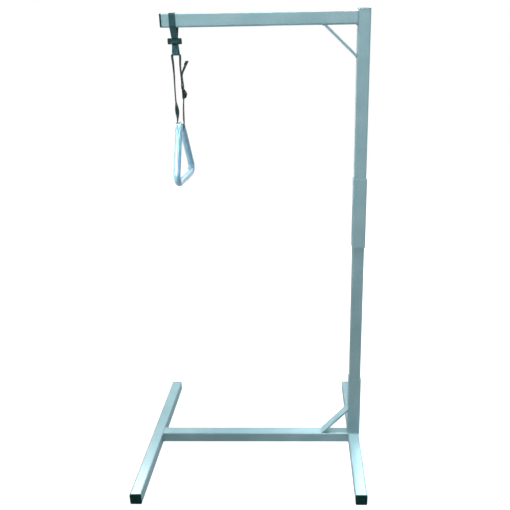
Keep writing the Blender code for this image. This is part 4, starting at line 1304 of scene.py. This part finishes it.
def by_ray(nodes, lighting, seen, output):
    """One shader that lights the object, another for the camera and for mirrored rays."""
    rays = nodes.add("LightPath").socket.node.outputs
    looking = Signal(nodes, rays["Is Camera Ray"])
    for name in ("Is Glossy Ray", "Is Transmission Ray"):
        looking = looking.math("MAXIMUM", Signal(nodes, rays[name]))
    choice = nodes.add("MixShader", {0: looking, 1: lighting, 2: seen})
    nodes.feed(nodes.tree.nodes.new(output).inputs["Surface"], choice)


ground = bpy.data.materials.new("white_floor")
nodes = Nodes(ground)
nodes.tree.nodes.clear()
bounced = nodes.add("BsdfDiffuse", {"Color": grey(FLOOR_BOUNCE)})
seen = nodes.add("BsdfDiffuse", {"Color": grey(FLOOR_SEEN)})
distance = nodes.add("VectorMath", {0: nodes.place()}, "Value", operation="LENGTH")
lift = distance.between(SHADED_TO, WHITE_FROM, SHADED_GLOW)
glow = nodes.add("Emission", {"Color": grey(1), "Strength": lift})
by_ray(nodes, bounced, nodes.add("AddShader", {0: seen, 1: glow}), "ShaderNodeOutputMaterial")

bm = bmesh.new()
bmesh.ops.create_grid(bm, x_segments=1, y_segments=1, size=6)
floor = as_object(bm, "floor", ground)

world = bpy.data.worlds.new("plain_sky")
bpy.context.scene.world = world
nodes = Nodes(world)
nodes.tree.nodes.clear()
soft = nodes.add("Background", {"Color": grey(1), "Strength": SKY_LIGHT})
white = nodes.add("Background", {"Color": grey(1)})
by_ray(nodes, soft, white, "ShaderNodeOutputWorld")

# %% [markdown]
# Shadows and highlights in a photograph tell where its lamps stood. Here the tops of the
# tubes are almost white, their fronts are a middle blue that gets darker downwards, and the
# cross tube lies in shadow right under the base brace, so the main light is straight above.
# The front ends of the feet shine where they mirror two lamps that stand high behind. Four
# small lamps do the rest: a weak one in front of the boom, a tall one behind that the mast's
# left side mirrors, a narrow beam from the left that whitens the grip's left sides, and a
# narrow one over the right foot. The camera itself sees none of the lamps.


# %% Lamps
def lamp(name, place, target, width, height, power, spread=180):
    """A rectangular lamp, aimed at a point; a small spread makes its beam narrow."""
    light = bpy.data.lights.new(name, "AREA")
    light.shape = "RECTANGLE"
    light.size = width
    light.size_y = height
    light.energy = power
    light.spread = math.radians(spread)
    piece = new_object(name, light)
    aim = Vector(target) - Vector(place)
    turn = aim.to_track_quat("-Z", "Y").to_matrix().to_4x4()
    piece.matrix_world = Matrix.Translation(place) @ turn
    piece.visible_camera = False


lamp("rear_left_lamp", (-1.65, 2.9, 3.15), (-0.43, -0.3, 0.04), 0.5, 0.45, 56)
lamp("rear_right_lamp", (1.0, 2.9, 3.05), (0.43, -0.3, 0.04), 0.75, 0.6, 48)
lamp("top_lamp", (0.1, -0.15, 3.4), (0.05, -0.3, 0), 0.9, 0.5, 56)
lamp("high_left_lamp", (-1.6, -0.6, 4.0), (0, -0.2, 0), 1.0, 1.0, 23)
lamp("front_lamp", (0.1, -2.4, 2.6), (0, 0, 1.52), 0.6, 0.6, 3.2, 60)
lamp("mast_lamp", (0.156, 2.78, 1.1), (0.41, 0, 1.25), 0.4, 1.5, 9)
lamp("grip_lamp", (-1.45, -1.5, 2.4), (-0.23, -0.05, 1.3), 0.4, 0.4, 1.1, 20)
lamp("right_foot_lamp", (0.47, -0.2, 2.6), (0.47, -0.25, 0), 0.3, 0.3, 1.15, 26)
bpy.context.scene.view_settings.view_transform = "Standard"
